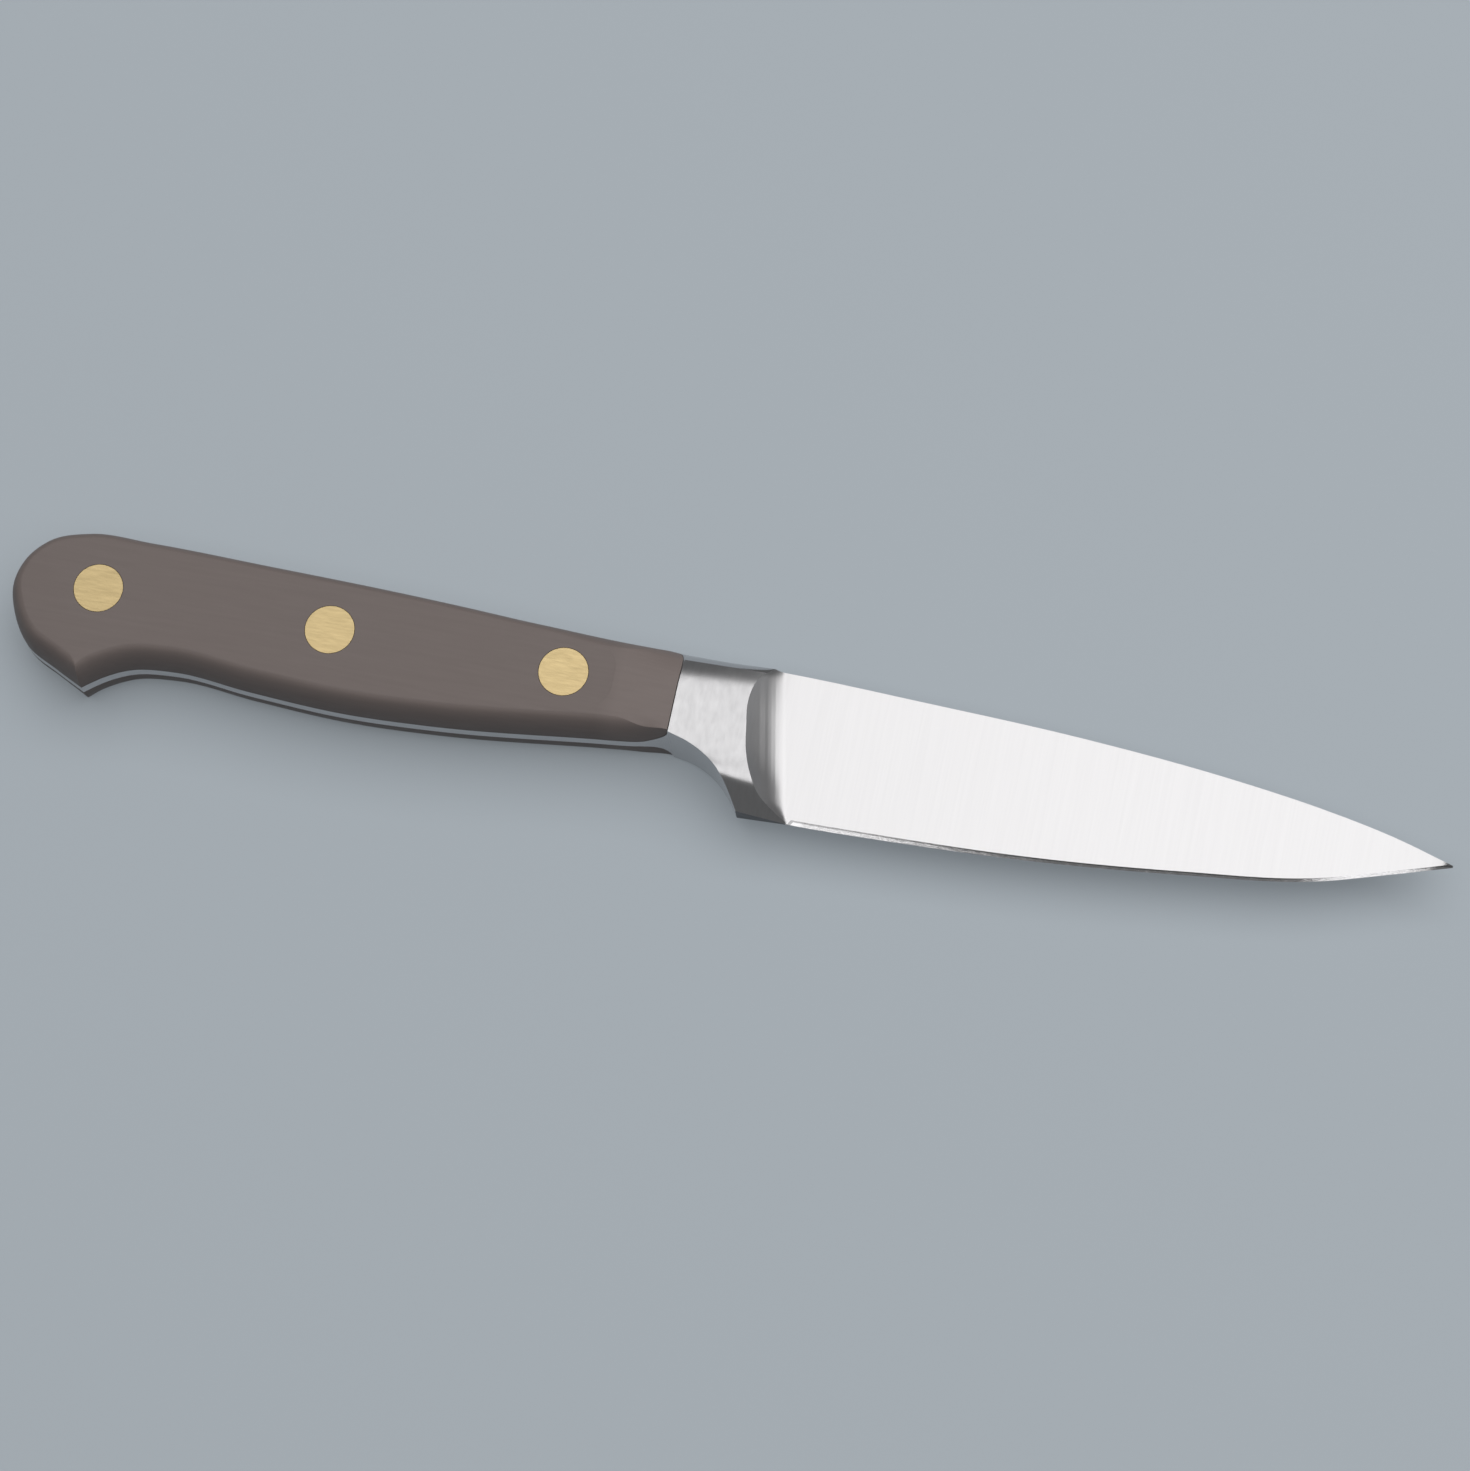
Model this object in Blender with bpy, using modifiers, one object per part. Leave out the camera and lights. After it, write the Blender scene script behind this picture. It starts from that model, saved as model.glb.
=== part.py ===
"""Forged paring-size table knife with a full tang and a riveted handle.

The knife lies on its left handle scale. In the knife's own axes x runs from the joint between
handle and bolster towards the tip, y runs towards the spine, and z is up, with z = 0 on the
middle plane of the tang and blade.
"""

import math

import bmesh
import bpy
import numpy as np
from mathutils import Vector

MM = 0.001

# Clearances
SEAT_GAP = 0.3 * MM          # between a scale or a rivet and what it seats on
CUTTER_MARGIN = 4.0 * MM     # how far a cutter runs past what it cuts

# Handle
HANDLE_LENGTH = 92.5 * MM    # butt to bolster joint
HANDLE_HALF_THICKNESS = 6.3 * MM
TANG_HALF_THICKNESS = 0.95 * MM
BUTT_TOP_HEIGHT = 8.6 * MM   # spine side of the butt, above the line of the rivets
BUTT_ROUND_LENGTH = 18.0 * MM  # butt's rounded end, along the spine side
BEAK_DEPTH = 12.7 * MM       # hooked corner of the butt, below the line of the rivets
BEAK_SETBACK = 12.3 * MM     # from the butt's end to the hooked corner
WAIST_SETBACK = 24.0 * MM    # from the butt's end to the highest point of the finger hollow
WAIST_DEPTH = 8.25 * MM
BELLY_SETBACK = 48.1 * MM    # from the butt's end to the lowest point of the belly
BELLY_DEPTH = 9.75 * MM
NECK_TOP_HEIGHT = 6.8 * MM   # spine side at the bolster joint
NECK_DEPTH = 5.45 * MM       # underside at the bolster joint
SIDE_ROUNDING = 2.3 * MM     # how far the rounded sides draw in, underside and butt
TOP_ROUNDING = 1.8 * MM      # the same along the spine side
NECK_ROUNDING = 0.4 * MM     # the same at the bolster joint, underside
NECK_TOP_ROUNDING = 3.8 * MM  # and there along the spine side, the bolster's too
ROUNDING_RUNOUT = 12.0 * MM  # length over which the underside's rounding changes to the joint's
TOP_RUNOUT = 20.0 * MM       # the same along the spine side
UPPER_BLEND = 8.0 * MM       # height of the butt over which the two roundings meet
CORNER_SMOOTHING = 3.0 * MM  # rounds the inset edge round the hooked corner
JOINT_OVERRUN = 2.0 * MM     # how far a scale's outline runs past the joint before it is cut
NECK_OVERRUN_SLOPE = 0.175   # how steeply its underside falls there

# The flats of the handle fall away a little before the bolster
NECK_RELIEF_LENGTH = 8.7 * MM
NECK_RELIEF_RADIUS = 70.0 * MM

# Bolster
BOLSTER_HALF_THICKNESS = 5.7 * MM
BOLSTER_FILLET = 4.5 * MM    # between the tang's side and the bolster's rear face
BOLSTER_SWEEP = 1.35         # 1 is a straight taper to the blade, more is hollower
GUARD_HALF_THICKNESS = 5.3 * MM
GUARD_THINNING = 1.2 * MM    # depth below the joint over which the bolster eases to the guard
CHEEK_DEPTH = 8.3 * MM       # below this the guard's cheeks curve under
FOOT_REACH = 10.7 * MM       # from the joint to the rear corner of the guard's foot
FOOT_DEPTH = 13.45 * MM
FOOT_HALF_THICKNESS = 0.7 * MM

# Blade
HEEL_REACH = 17.8 * MM       # from the joint to the start of the cutting edge
HEEL_DEPTH = 13.6 * MM
EDGE_LENGTH = 87.7 * MM      # heel to tip
SPINE_RISE = 6.95 * MM       # blade's spine at the bolster, above the line of the rivets
TIP_DEPTH = 2.75 * MM        # tip, below the line of the rivets
TIP_BLUNT = 0.3 * MM
SPINE_HALF_THICKNESS = 1.0 * MM
TIP_HALF_THICKNESS = 0.3 * MM
EDGE_HALF_THICKNESS = 0.15 * MM
THINNING_POWER = 1.5         # how late along the blade its spine thins
PLUNGE_REACH = 9.5 * MM      # from the joint to the rearmost point of the plunge line
PLUNGE_SWEEP = 2.5 * MM      # how far its end at the spine lies forward of that
GRIND_END_REACH = 14.6 * MM  # from the joint to where the blade's flat begins
GRIND_LEAN = 0.137           # how far that line leans forward for each unit downwards
GRIND_RADIUS = 7.5 * MM      # wheel radius at the plunge
LEAST_GRIND_WIDTH = 0.4 * MM

# Rivets
RIVET_HEAD_RADIUS = 3.4 * MM
RIVET_HEAD_DEPTH = 2.4 * MM
RIVET_BARREL_RADIUS = 2.0 * MM
RIVET_POST_RADIUS = 1.0 * MM
REAR_RIVET_SETBACK = 12.5 * MM   # from the butt's end
FRONT_RIVET_SETBACK = 15.35 * MM  # from the bolster joint

# Mesh fineness
OUTLINE_STEPS = 7            # between two points of the handle's outline
SIDE_LEVELS = 7              # up the rounded side of a scale
BUTT_COLUMNS = 8             # sections from the butt's end to the hooked corner
TANG_COLUMNS = 20            # from there to the bolster
BOLSTER_COLUMNS = 10         # from the joint and guard to the plunge line
PLUNGE_COLUMNS = 6           # across the hollow that the wheel leaves
BLADE_COLUMNS = 18
CROWN_ROWS = 7               # rows of the forging from the spine down
SIDE_ROWS = 4
GUARD_ROWS = 4
CHEEK_ROWS = 9
FIRST_ROW_SHARE = 0.02       # of the plunge line's length, from the spine to the second row
CROWN_SHARE = 0.18           # the same to the last row of the crown
JOINT_SHARE = 0.6            # to the row that leaves the joint for the guard
CHEEK_SHARE = 0.76           # to the row where the cheeks start
TIP_CROWDING = 1.15          # above 1 the blade's sections draw together towards the tip
BUTT_TRIM = 0.02 * MM        # flat that closes the tang at the butt
PLACE_ROUNDS = 6             # times that a point's x and y are settled together
ROUND_SEGMENTS = 32
ARC_STEPS = 10
MERGE_DISTANCE = 0.01 * MM
SMOOTH_ANGLE = math.radians(25)

TIP_REACH = HEEL_REACH + EDGE_LENGTH

STEEL = {"color": (0.62, 0.62, 0.63), "metallic": 1.0, "roughness": 0.28}
BRASS = {"color": (0.78, 0.60, 0.30), "metallic": 1.0, "roughness": 0.35}
SCALE_PLASTIC = {"color": (0.165, 0.135, 0.125), "metallic": 0.0, "roughness": 0.5}


def clear_scene():
    """Remove whatever the open scene holds."""
    for obj in list(bpy.data.objects):
        bpy.data.objects.remove(obj, do_unlink=True)


def new_collection(name):
    """Make a collection under the scene's own."""
    collection = bpy.data.collections.new(name)
    bpy.context.scene.collection.children.link(collection)
    return collection


def new_material(name, color, metallic, roughness):
    """A plain Principled material."""
    material = bpy.data.materials.new(name)
    material.use_nodes = True
    shader = material.node_tree.nodes["Principled BSDF"]
    shader.inputs["Base Color"].default_value = (*color, 1.0)
    shader.inputs["Metallic"].default_value = metallic
    shader.inputs["Roughness"].default_value = roughness
    return material


def smooth_curve(points, steps):
    """Points on a smooth curve through the given ones, whose spacing may be uneven."""
    points = [np.array(p, float) for p in points]
    spans = [float(np.linalg.norm(b - a)) for a, b in zip(points, points[1:])]
    slopes = [(b - a) / h for a, b, h in zip(points, points[1:], spans)]
    tangents = [slopes[0]]
    for i in range(1, len(points) - 1):
        before, after = spans[i - 1], spans[i]
        tangents.append((slopes[i - 1] * after + slopes[i] * before) / (before + after))
    tangents.append(slopes[-1])
    out = []
    for i, h in enumerate(spans):
        for k in range(steps):
            t = k / steps
            out.append(points[i] * (1 + 2 * t) * (1 - t) ** 2 + points[i + 1] * t * t * (3 - 2 * t)
                       + tangents[i] * h * t * (1 - t) ** 2 - tangents[i + 1] * h * t * t * (1 - t))
    out.append(points[-1])
    return out


def smooth_step(t):
    """Ease from 0 to 1."""
    t = min(1.0, max(0.0, t))
    return t * t * (3 - 2 * t)


def stretch(start, end, shape):
    """Points of an outline from start to end, at shares of the way along x and along y."""
    return [(start[0] + (end[0] - start[0]) * s, start[1] + (end[1] - start[1]) * t) for s, t in shape]


def handle_upper_points():
    """Spine side of the handle from just past the joint, round the butt, to the hooked corner."""
    neck, beak = (0.0, NECK_TOP_HEIGHT), (-HANDLE_LENGTH + BEAK_SETBACK, -BEAK_DEPTH)
    corner = (-HANDLE_LENGTH + BUTT_ROUND_LENGTH, BUTT_TOP_HEIGHT)
    points = [(JOINT_OVERRUN, NECK_TOP_HEIGHT), neck]
    points += stretch(neck, corner, [(0.134, -0.028), (0.268, 0.083), (0.416, 0.389), (0.55, 0.611),
                                     (0.779, 0.833), (1.0, 1.0)])
    points += stretch((-HANDLE_LENGTH, -BEAK_DEPTH), corner,
                      [(0.511, 0.991), (0.217, 0.901), (0.05, 0.737), (0.0, 0.549)])
    points += stretch((-HANDLE_LENGTH, BUTT_TOP_HEIGHT), beak,
                      [(0.073, 0.596), (0.309, 0.793), (0.667, 0.906), (1.0, 1.0)])
    return points


def handle_lower_points():
    """Underside of the handle from the hooked corner to just past the bolster joint."""
    beak, neck = (-HANDLE_LENGTH + BEAK_SETBACK, -BEAK_DEPTH), (0.0, -NECK_DEPTH)
    waist = (-HANDLE_LENGTH + WAIST_SETBACK, -WAIST_DEPTH)
    belly = (-HANDLE_LENGTH + BELLY_SETBACK, -BELLY_DEPTH)
    points = [beak]
    points += stretch(beak, waist, [(0.188, 0.382), (0.513, 0.82), (1.0, 1.0)])
    points += stretch(waist, belly, [(0.456, 0.567), (1.0, 1.0)])
    points += stretch(neck, belly, [(0.698, 0.872), (0.248, 0.372), (0.101, 0.198), (0.0, 0.0)])
    points.append((JOINT_OVERRUN, -NECK_DEPTH - NECK_OVERRUN_SLOPE * JOINT_OVERRUN))
    return points


def guard_points():
    """Finger guard's concave rear face, from the joint down to the foot."""
    return stretch((0.0, -NECK_DEPTH), (FOOT_REACH, -FOOT_DEPTH),
                   [(0.0, 0.0), (0.25, 0.08), (0.44, 0.19), (0.64, 0.37),
                    (0.81, 0.62), (0.94, 0.87), (1.0, 1.0)])


def edge_points():
    """Foot, cutting edge and tip."""
    return [(FOOT_REACH, -FOOT_DEPTH)] + stretch(
        (HEEL_REACH, -HEEL_DEPTH), (TIP_REACH, -TIP_DEPTH - TIP_BLUNT),
        [(0.0, 0.0), (0.14, 0.019), (0.36, 0.095), (0.6, 0.275),
         (0.8, 0.502), (0.91, 0.768), (1.0, 1.0)])


def spine_points():
    """Spine from the joint over the bolster and blade to the tip."""
    plunge = (PLUNGE_REACH + PLUNGE_SWEEP, SPINE_RISE)
    return [(0.0, NECK_TOP_HEIGHT), plunge] + stretch(
        plunge, (TIP_REACH, -TIP_DEPTH),
        [(0.221, 0.067), (0.447, 0.165), (0.672, 0.361), (0.812, 0.557), (0.906, 0.742), (1.0, 1.0)])


def handle_half_thickness(x):
    """Half thickness over the flats, eased in just before the bolster."""
    reach = max(0.0, min(x, 0.0) + NECK_RELIEF_LENGTH)
    return HANDLE_HALF_THICKNESS - reach ** 2 / (2 * NECK_RELIEF_RADIUS)


def plunge_points():
    """Plunge line, where the bolster meets the blade, from the spine down to the heel."""
    middle = (PLUNGE_REACH, 0.0)
    points = stretch(middle, (PLUNGE_REACH + PLUNGE_SWEEP, SPINE_RISE),
                     [(1.0, 1.0), (0.4, 0.79), (0.06, 0.45), (0.0, 0.15)])
    points += stretch(middle, (HEEL_REACH, -HEEL_DEPTH),
                      [(0.054, 0.15), (0.139, 0.41), (0.265, 0.61),
                       (0.464, 0.8), (0.771, 0.925), (1.0, 1.0)])
    return points


def shares(count):
    """Even steps from 0 up to, but without, 1."""
    return [k / count for k in range(count)]


def along(curve, y):
    """The point of a falling curve at height y."""
    xs, ys = np.array(curve)[::-1].T
    return float(np.interp(y, ys, xs)), y


def rounded_side(angle, rounding, half_thickness):
    """How far a side rounded as a quarter ellipse draws in, and its height, at an angle round it."""
    drawn = rounding * (1 - math.cos(angle))
    return drawn, TANG_HALF_THICKNESS + (half_thickness - TANG_HALF_THICKNESS) * math.sin(angle)


def cheek_share(y):
    """Share of the way down the guard's cheeks, from 0 where they start to 1 at the foot."""
    return max(0.0, -CHEEK_DEPTH - y) / (FOOT_DEPTH - CHEEK_DEPTH)


def guard_half(y):
    """Half thickness of the guard along its rear face."""
    thinning = smooth_step((-NECK_DEPTH - y) / GUARD_THINNING)
    half = BOLSTER_HALF_THICKNESS + (GUARD_HALF_THICKNESS - BOLSTER_HALF_THICKNESS) * thinning
    thin = (FOOT_HALF_THICKNESS / GUARD_HALF_THICKNESS) ** 2
    return half * math.sqrt(1 - (1 - thin) * cheek_share(y) ** 2)


class Forging:
    """One-piece blade, bolster and tang, as sections from the butt to the tip."""

    def __init__(self):
        upper = smooth_curve(handle_upper_points(), OUTLINE_STEPS)
        lower = smooth_curve(handle_lower_points(), OUTLINE_STEPS)
        end = min(range(len(upper)), key=lambda i: upper[i][0])
        self.butt_x = float(upper[end][0])
        self.tang_top = np.array(upper[end::-1]).T
        self.tang_bottom = np.array(upper[end:-1] + lower).T
        self.spine = np.array(smooth_curve(spine_points(), OUTLINE_STEPS)).T
        self.edge = np.array(smooth_curve(edge_points(), OUTLINE_STEPS)).T
        self.rear = self.rear_line()
        self.plunge = self.plunge_line()

    def rear_line(self):
        """Bolster's rear boundary by rows, as x, y and half thickness: the joint, then the guard."""
        line = []
        for s in shares(CROWN_ROWS):
            drawn, half = rounded_side(0.5 * math.pi * s, NECK_TOP_ROUNDING, BOLSTER_HALF_THICKNESS)
            line.append((0.0, NECK_TOP_HEIGHT - drawn, half))
        crown_end = NECK_TOP_HEIGHT - NECK_TOP_ROUNDING
        line += [(0.0, crown_end - (NECK_DEPTH + crown_end) * s, BOLSTER_HALF_THICKNESS)
                 for s in shares(SIDE_ROWS)]
        guard = smooth_curve(guard_points(), OUTLINE_STEPS)
        heights = [-NECK_DEPTH + (NECK_DEPTH - CHEEK_DEPTH) * s for s in shares(GUARD_ROWS)]
        heights += [-CHEEK_DEPTH + (CHEEK_DEPTH - FOOT_DEPTH) * math.sin(0.5 * math.pi * s)
                    for s in shares(CHEEK_ROWS)]
        heights.append(-FOOT_DEPTH)
        return line + [(*along(guard, y), guard_half(y)) for y in heights]

    def plunge_line(self):
        """Plunge line by rows that match the rear boundary's."""
        curve = smooth_curve(plunge_points(), OUTLINE_STEPS)
        steps = [np.linalg.norm(b - a) for a, b in zip(curve, curve[1:])]
        lengths = np.concatenate(([0.0], np.cumsum(steps))) / sum(steps)
        marks = [0.0]
        marks += [FIRST_ROW_SHARE + (CROWN_SHARE - FIRST_ROW_SHARE) * s for s in shares(CROWN_ROWS)]
        marks += [CROWN_SHARE + (JOINT_SHARE - CROWN_SHARE) * s for s in shares(SIDE_ROWS)]
        marks += [JOINT_SHARE + (CHEEK_SHARE - JOINT_SHARE) * s for s in shares(GUARD_ROWS)]
        marks += [CHEEK_SHARE + (1 - CHEEK_SHARE) * math.sin(0.5 * math.pi * s) for s in shares(CHEEK_ROWS)]
        marks.append(1.0)
        xs, ys = np.array(curve).T
        return [(float(np.interp(m, lengths, xs)), float(np.interp(m, lengths, ys))) for m in marks]

    def blade_half(self, x, y):
        """Flat-ground wedge from the spine to the edge, thinning towards the tip."""
        reach = max(0.0, (x - HEEL_REACH) / EDGE_LENGTH)
        spine = SPINE_HALF_THICKNESS + (TIP_HALF_THICKNESS - SPINE_HALF_THICKNESS) * reach ** THINNING_POWER
        top, bottom = self.blade_top(x), self.blade_bottom(x)
        share = (top - y) / max(top - bottom, TIP_BLUNT)
        return spine + (EDGE_HALF_THICKNESS - spine) * min(1.0, share)

    def blade_top(self, x):
        return float(np.interp(x, *self.spine))

    def blade_bottom(self, x):
        return float(np.interp(x, *self.edge))

    def ground_half(self, x, y):
        """Blade side with the wheel's hollow running up to the plunge line."""
        short = max(0.0, GRIND_END_REACH - GRIND_LEAN * y - x)
        return self.blade_half(x, y) + short ** 2 / (2 * GRIND_RADIUS)

    def tang_sections(self):
        """Sections over the joint's rows, from the butt to just behind the bolster."""
        start, beak = self.butt_x + BUTT_TRIM, -HANDLE_LENGTH + BEAK_SETBACK
        columns = [start + (beak - start) * (1 - math.cos(0.5 * math.pi * s)) for s in shares(BUTT_COLUMNS)]
        columns += [beak * (1 - s) for s in shares(TANG_COLUMNS)]
        joint = self.rear[:CROWN_ROWS + SIDE_ROWS + 1]
        sections = []
        for x in columns:
            top = float(np.interp(x, *self.tang_top))
            bottom = float(np.interp(x, *self.tang_bottom))
            thicker = handle_half_thickness(x) - handle_half_thickness(0.0)
            section = []
            for _, y, half in joint:
                share = (NECK_TOP_HEIGHT - y) / (NECK_TOP_HEIGHT + NECK_DEPTH)
                section.append((x, top + (bottom - top) * share, half + thicker))
            sections.append(section)
        return sections

    def bolster_sections(self):
        """Sections from the rear boundary up to the plunge line."""
        sections = []
        for u in shares(BOLSTER_COLUMNS):
            section = []
            for (rear_x, rear_y, rear), (plunge_x, plunge_y) in zip(self.rear, self.plunge):
                power = BOLSTER_SWEEP + (1 - BOLSTER_SWEEP) * cheek_share(rear_y)
                front = self.ground_half(plunge_x, plunge_y)
                half = front + (rear - front) * (1 - u) ** power
                section.append((rear_x + (plunge_x - rear_x) * u, rear_y + (plunge_y - rear_y) * u, half))
            sections.append(section)
        return sections

    def blade_sections(self):
        """Sections from the plunge line to the tip."""
        rows = []
        for i, (plunge_x, plunge_y) in enumerate(self.plunge):
            top, bottom = self.blade_top(plunge_x), min(plunge_y, self.blade_bottom(plunge_x))
            share = (top - plunge_y) / (top - bottom)
            even_share = i / (len(self.plunge) - 1)
            flats = []
            for k in range(BLADE_COLUMNS + 1):
                reach = 1 - (1 - k / BLADE_COLUMNS) ** TIP_CROWDING
                flats.append(self.settle(share + (even_share - share) * reach, plunge_x, reach))
            flat_x, flat_y = flats[0]
            hollow = [(plunge_x + (flat_x - plunge_x) * s, plunge_y + (flat_y - plunge_y) * s)
                      for s in shares(PLUNGE_COLUMNS)]
            rows.append([(x, y, self.ground_half(x, y)) for x, y in hollow + flats])
        return [list(section) for section in zip(*rows)]

    def settle(self, share, plunge_x, reach):
        """The point of the blade's flat at a share of its height and of its length."""
        y = 0.0
        for _ in range(PLACE_ROUNDS):
            start = max(GRIND_END_REACH - GRIND_LEAN * y, plunge_x + LEAST_GRIND_WIDTH)
            x = start + (TIP_REACH - start) * reach
            top, bottom = self.blade_top(x), self.blade_bottom(x)
            y = top + (bottom - top) * share
        return x, y


def loft_forging(surface):
    """Skin the sections and their mirror images into one closed mesh."""
    bm = bmesh.new()
    tang = [mirrored_section(bm, section) for section in surface.tang_sections()]
    front = [mirrored_section(bm, s) for s in surface.bolster_sections() + surface.blade_sections()]
    joint_row = len(tang[0][0]) - 1
    foot_row = len(front[0][0]) - 1
    for low, high in zip(tang, tang[1:] + front[:1]):
        join_sections(bm, low, high, joint_row)
    for low, high in zip(front, front[1:]):
        join_sections(bm, low, high, foot_row)
    close_across(bm, tang[0], 0, joint_row)
    close_across(bm, front[0], joint_row, foot_row)
    close_across(bm, front[-1], 0, foot_row)
    bmesh.ops.recalc_face_normals(bm, faces=bm.faces)
    return bm


def close_across(bm, section, first, last):
    """Faces from the right side to the left, over some rows of a section."""
    right, left = section
    for i in range(first, last):
        bm.faces.new((right[i], right[i + 1], left[i + 1], left[i]))


def mirrored_section(bm, section):
    """Vertices of one section, right side and left side."""
    return [[bm.verts.new((x, y, side * z)) for x, y, z in section] for side in (1, -1)]


def join_sections(bm, low, high, rows):
    """Faces between two sections: both sides, and across at the top and at the last row."""
    for a, b in zip(low, high):
        for i in range(rows):
            bm.faces.new((a[i], a[i + 1], b[i + 1], b[i]))
    for i in (0, rows):
        bm.faces.new((low[0][i], low[1][i], high[1][i], high[0][i]))


def skin(sections):
    """Close a stack of equal rings into a mesh, with a face at each end."""
    bm = bmesh.new()
    rings = [[bm.verts.new(p) for p in ring] for ring in sections]
    for low, high in zip(rings, rings[1:]):
        for i in range(len(low)):
            j = (i + 1) % len(low)
            bm.faces.new((low[i], low[j], high[j], high[i]))
    bm.faces.new(reversed(rings[0]))
    bm.faces.new(rings[-1])
    bmesh.ops.recalc_face_normals(bm, faces=bm.faces)
    return bm


def mesh_object(name, bm, collection, material=None):
    """Turn a bmesh into a named object."""
    mesh = bpy.data.meshes.new(name)
    bm.to_mesh(mesh)
    bm.free()
    if material:
        mesh.materials.append(material)
        mesh.shade_smooth()
        mesh.set_sharp_from_angle(angle=SMOOTH_ANGLE)
    obj = bpy.data.objects.new(name, mesh)
    collection.objects.link(obj)
    return obj


def make_cutter(obj):
    """Hide a cutter from renders and show it as wire."""
    obj.hide_render = True
    obj.display_type = "WIRE"
    return obj


def fillet_arc(side, gap):
    """Corner between the tang's side and the bolster's rear face, or the same kept a gap away."""
    center_x, center_z = -BOLSTER_FILLET, TANG_HALF_THICKNESS + BOLSTER_FILLET
    radius = BOLSTER_FILLET - gap
    arc = []
    for k in range(ARC_STEPS + 1):
        angle = 0.5 * math.pi * k / ARC_STEPS
        arc.append((center_x + radius * math.sin(angle), side * (center_z - radius * math.cos(angle))))
    return arc


def side_prism(name, outline, collection):
    """Cutter with an outline seen from the spine, x along and z up, running across the knife."""
    across = BEAK_DEPTH + BUTT_TOP_HEIGHT
    rings = [[Vector((x, y, z)) for x, z in outline] for y in (-across, across)]
    return make_cutter(mesh_object(name, skin(rings), collection))


def pocket_prism(name, side, collection):
    """Room for one scale, cut from the forging: behind the bolster and outside the tang."""
    behind = -HANDLE_LENGTH - CUTTER_MARGIN
    outside = side * (HANDLE_HALF_THICKNESS + CUTTER_MARGIN)
    outline = fillet_arc(side, 0.0)
    outline += [(0.0, outside), (behind, outside), (behind, side * TANG_HALF_THICKNESS)]
    return side_prism(name, outline, collection)


def core_prism(name, side, collection):
    """Room for the tang and bolster, with the seat gap, cut from one scale."""
    behind = -HANDLE_LENGTH - CUTTER_MARGIN
    outside = side * (HANDLE_HALF_THICKNESS + CUTTER_MARGIN)
    outline = fillet_arc(side, SEAT_GAP)
    outline += [(-SEAT_GAP, outside), (CUTTER_MARGIN, outside), (CUTTER_MARGIN, -side * CUTTER_MARGIN),
                (behind, -side * CUTTER_MARGIN), (behind, side * (TANG_HALF_THICKNESS + SEAT_GAP))]
    return side_prism(name, outline, collection)


def neck_grinder(name, side, collection):
    """Wheel that eases the scale's flat down towards the bolster."""
    outside = side * (HANDLE_HALF_THICKNESS + CUTTER_MARGIN)
    outline = []
    for k in range(ARC_STEPS + 1):
        reach = (NECK_RELIEF_LENGTH + CUTTER_MARGIN) * k / ARC_STEPS
        fall = reach ** 2 / (2 * NECK_RELIEF_RADIUS)
        outline.append((reach - NECK_RELIEF_LENGTH, side * (HANDLE_HALF_THICKNESS - fall)))
    outline += [(CUTTER_MARGIN, outside), (-NECK_RELIEF_LENGTH, outside)]
    return side_prism(name, outline, collection)


def cut(obj, cutter):
    """Cut one shape out of another with an exact Boolean."""
    modifier = obj.modifiers.new("cut_" + cutter.name, "BOOLEAN")
    modifier.operation = "DIFFERENCE"
    modifier.solver = "EXACT"
    modifier.object = cutter


def rounding_at(x, y):
    """How far the handle's side draws in at a point of its outline."""
    under = NECK_ROUNDING + (SIDE_ROUNDING - NECK_ROUNDING) * smooth_step(-x / ROUNDING_RUNOUT)
    over = NECK_TOP_ROUNDING + (TOP_ROUNDING - NECK_TOP_ROUNDING) * smooth_step(-x / TOP_RUNOUT)
    return under + (over - under) * smooth_step(0.5 + y / UPPER_BLEND)


def handle_outline():
    """Handle outline with, for each point, the inward direction of its rounding."""
    upper = smooth_curve(handle_upper_points(), OUTLINE_STEPS)
    lower = smooth_curve(handle_lower_points(), OUTLINE_STEPS)
    points = [Vector(p) for p in upper + lower[1:]]
    last = len(points) - 1
    normals = []
    for i in range(len(points)):
        heading = (points[min(last, i + 1)] - points[max(0, i - 1)]).normalized()
        normals.append(Vector((-heading.y, heading.x)))
    corner = points[len(upper) - 1]
    inward = []
    for p, normal in zip(points, normals):
        if (p - corner).length < 2 * CORNER_SMOOTHING:
            weights = [max(0.0, 1 - (q - p).length / CORNER_SMOOTHING) for q in points]
            normal = sum((n * w for n, w in zip(normals, weights)), Vector((0, 0))) / sum(weights)
        inward.append(normal)
    inward[0] = Vector((0, -1))
    inward[last] = Vector((0, 1))
    return points, inward


def scale_body(name, side, collection, material):
    """One handle scale before it is fitted: rings drawn in towards the flat."""
    points, inward = handle_outline()
    rings = [[Vector((p.x, p.y, 0.0)) for p in points]]
    for k in range(SIDE_LEVELS + 1):
        angle = 0.5 * math.pi * k / SIDE_LEVELS
        ring = []
        for p, n in zip(points, inward):
            drawn, height = rounded_side(angle, rounding_at(p.x, p.y), HANDLE_HALF_THICKNESS)
            ring.append(Vector((p.x + n.x * drawn, p.y + n.y * drawn, side * height)))
        rings.append(ring)
    return mesh_object(name, skin(rings), collection, material)


def rivet_positions():
    """Rear, middle and front rivets, evenly spaced on the line y = 0."""
    rear = -HANDLE_LENGTH + REAR_RIVET_SETBACK
    front = -FRONT_RIVET_SETBACK
    return {"rear": rear, "middle": 0.5 * (rear + front), "front": front}


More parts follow.
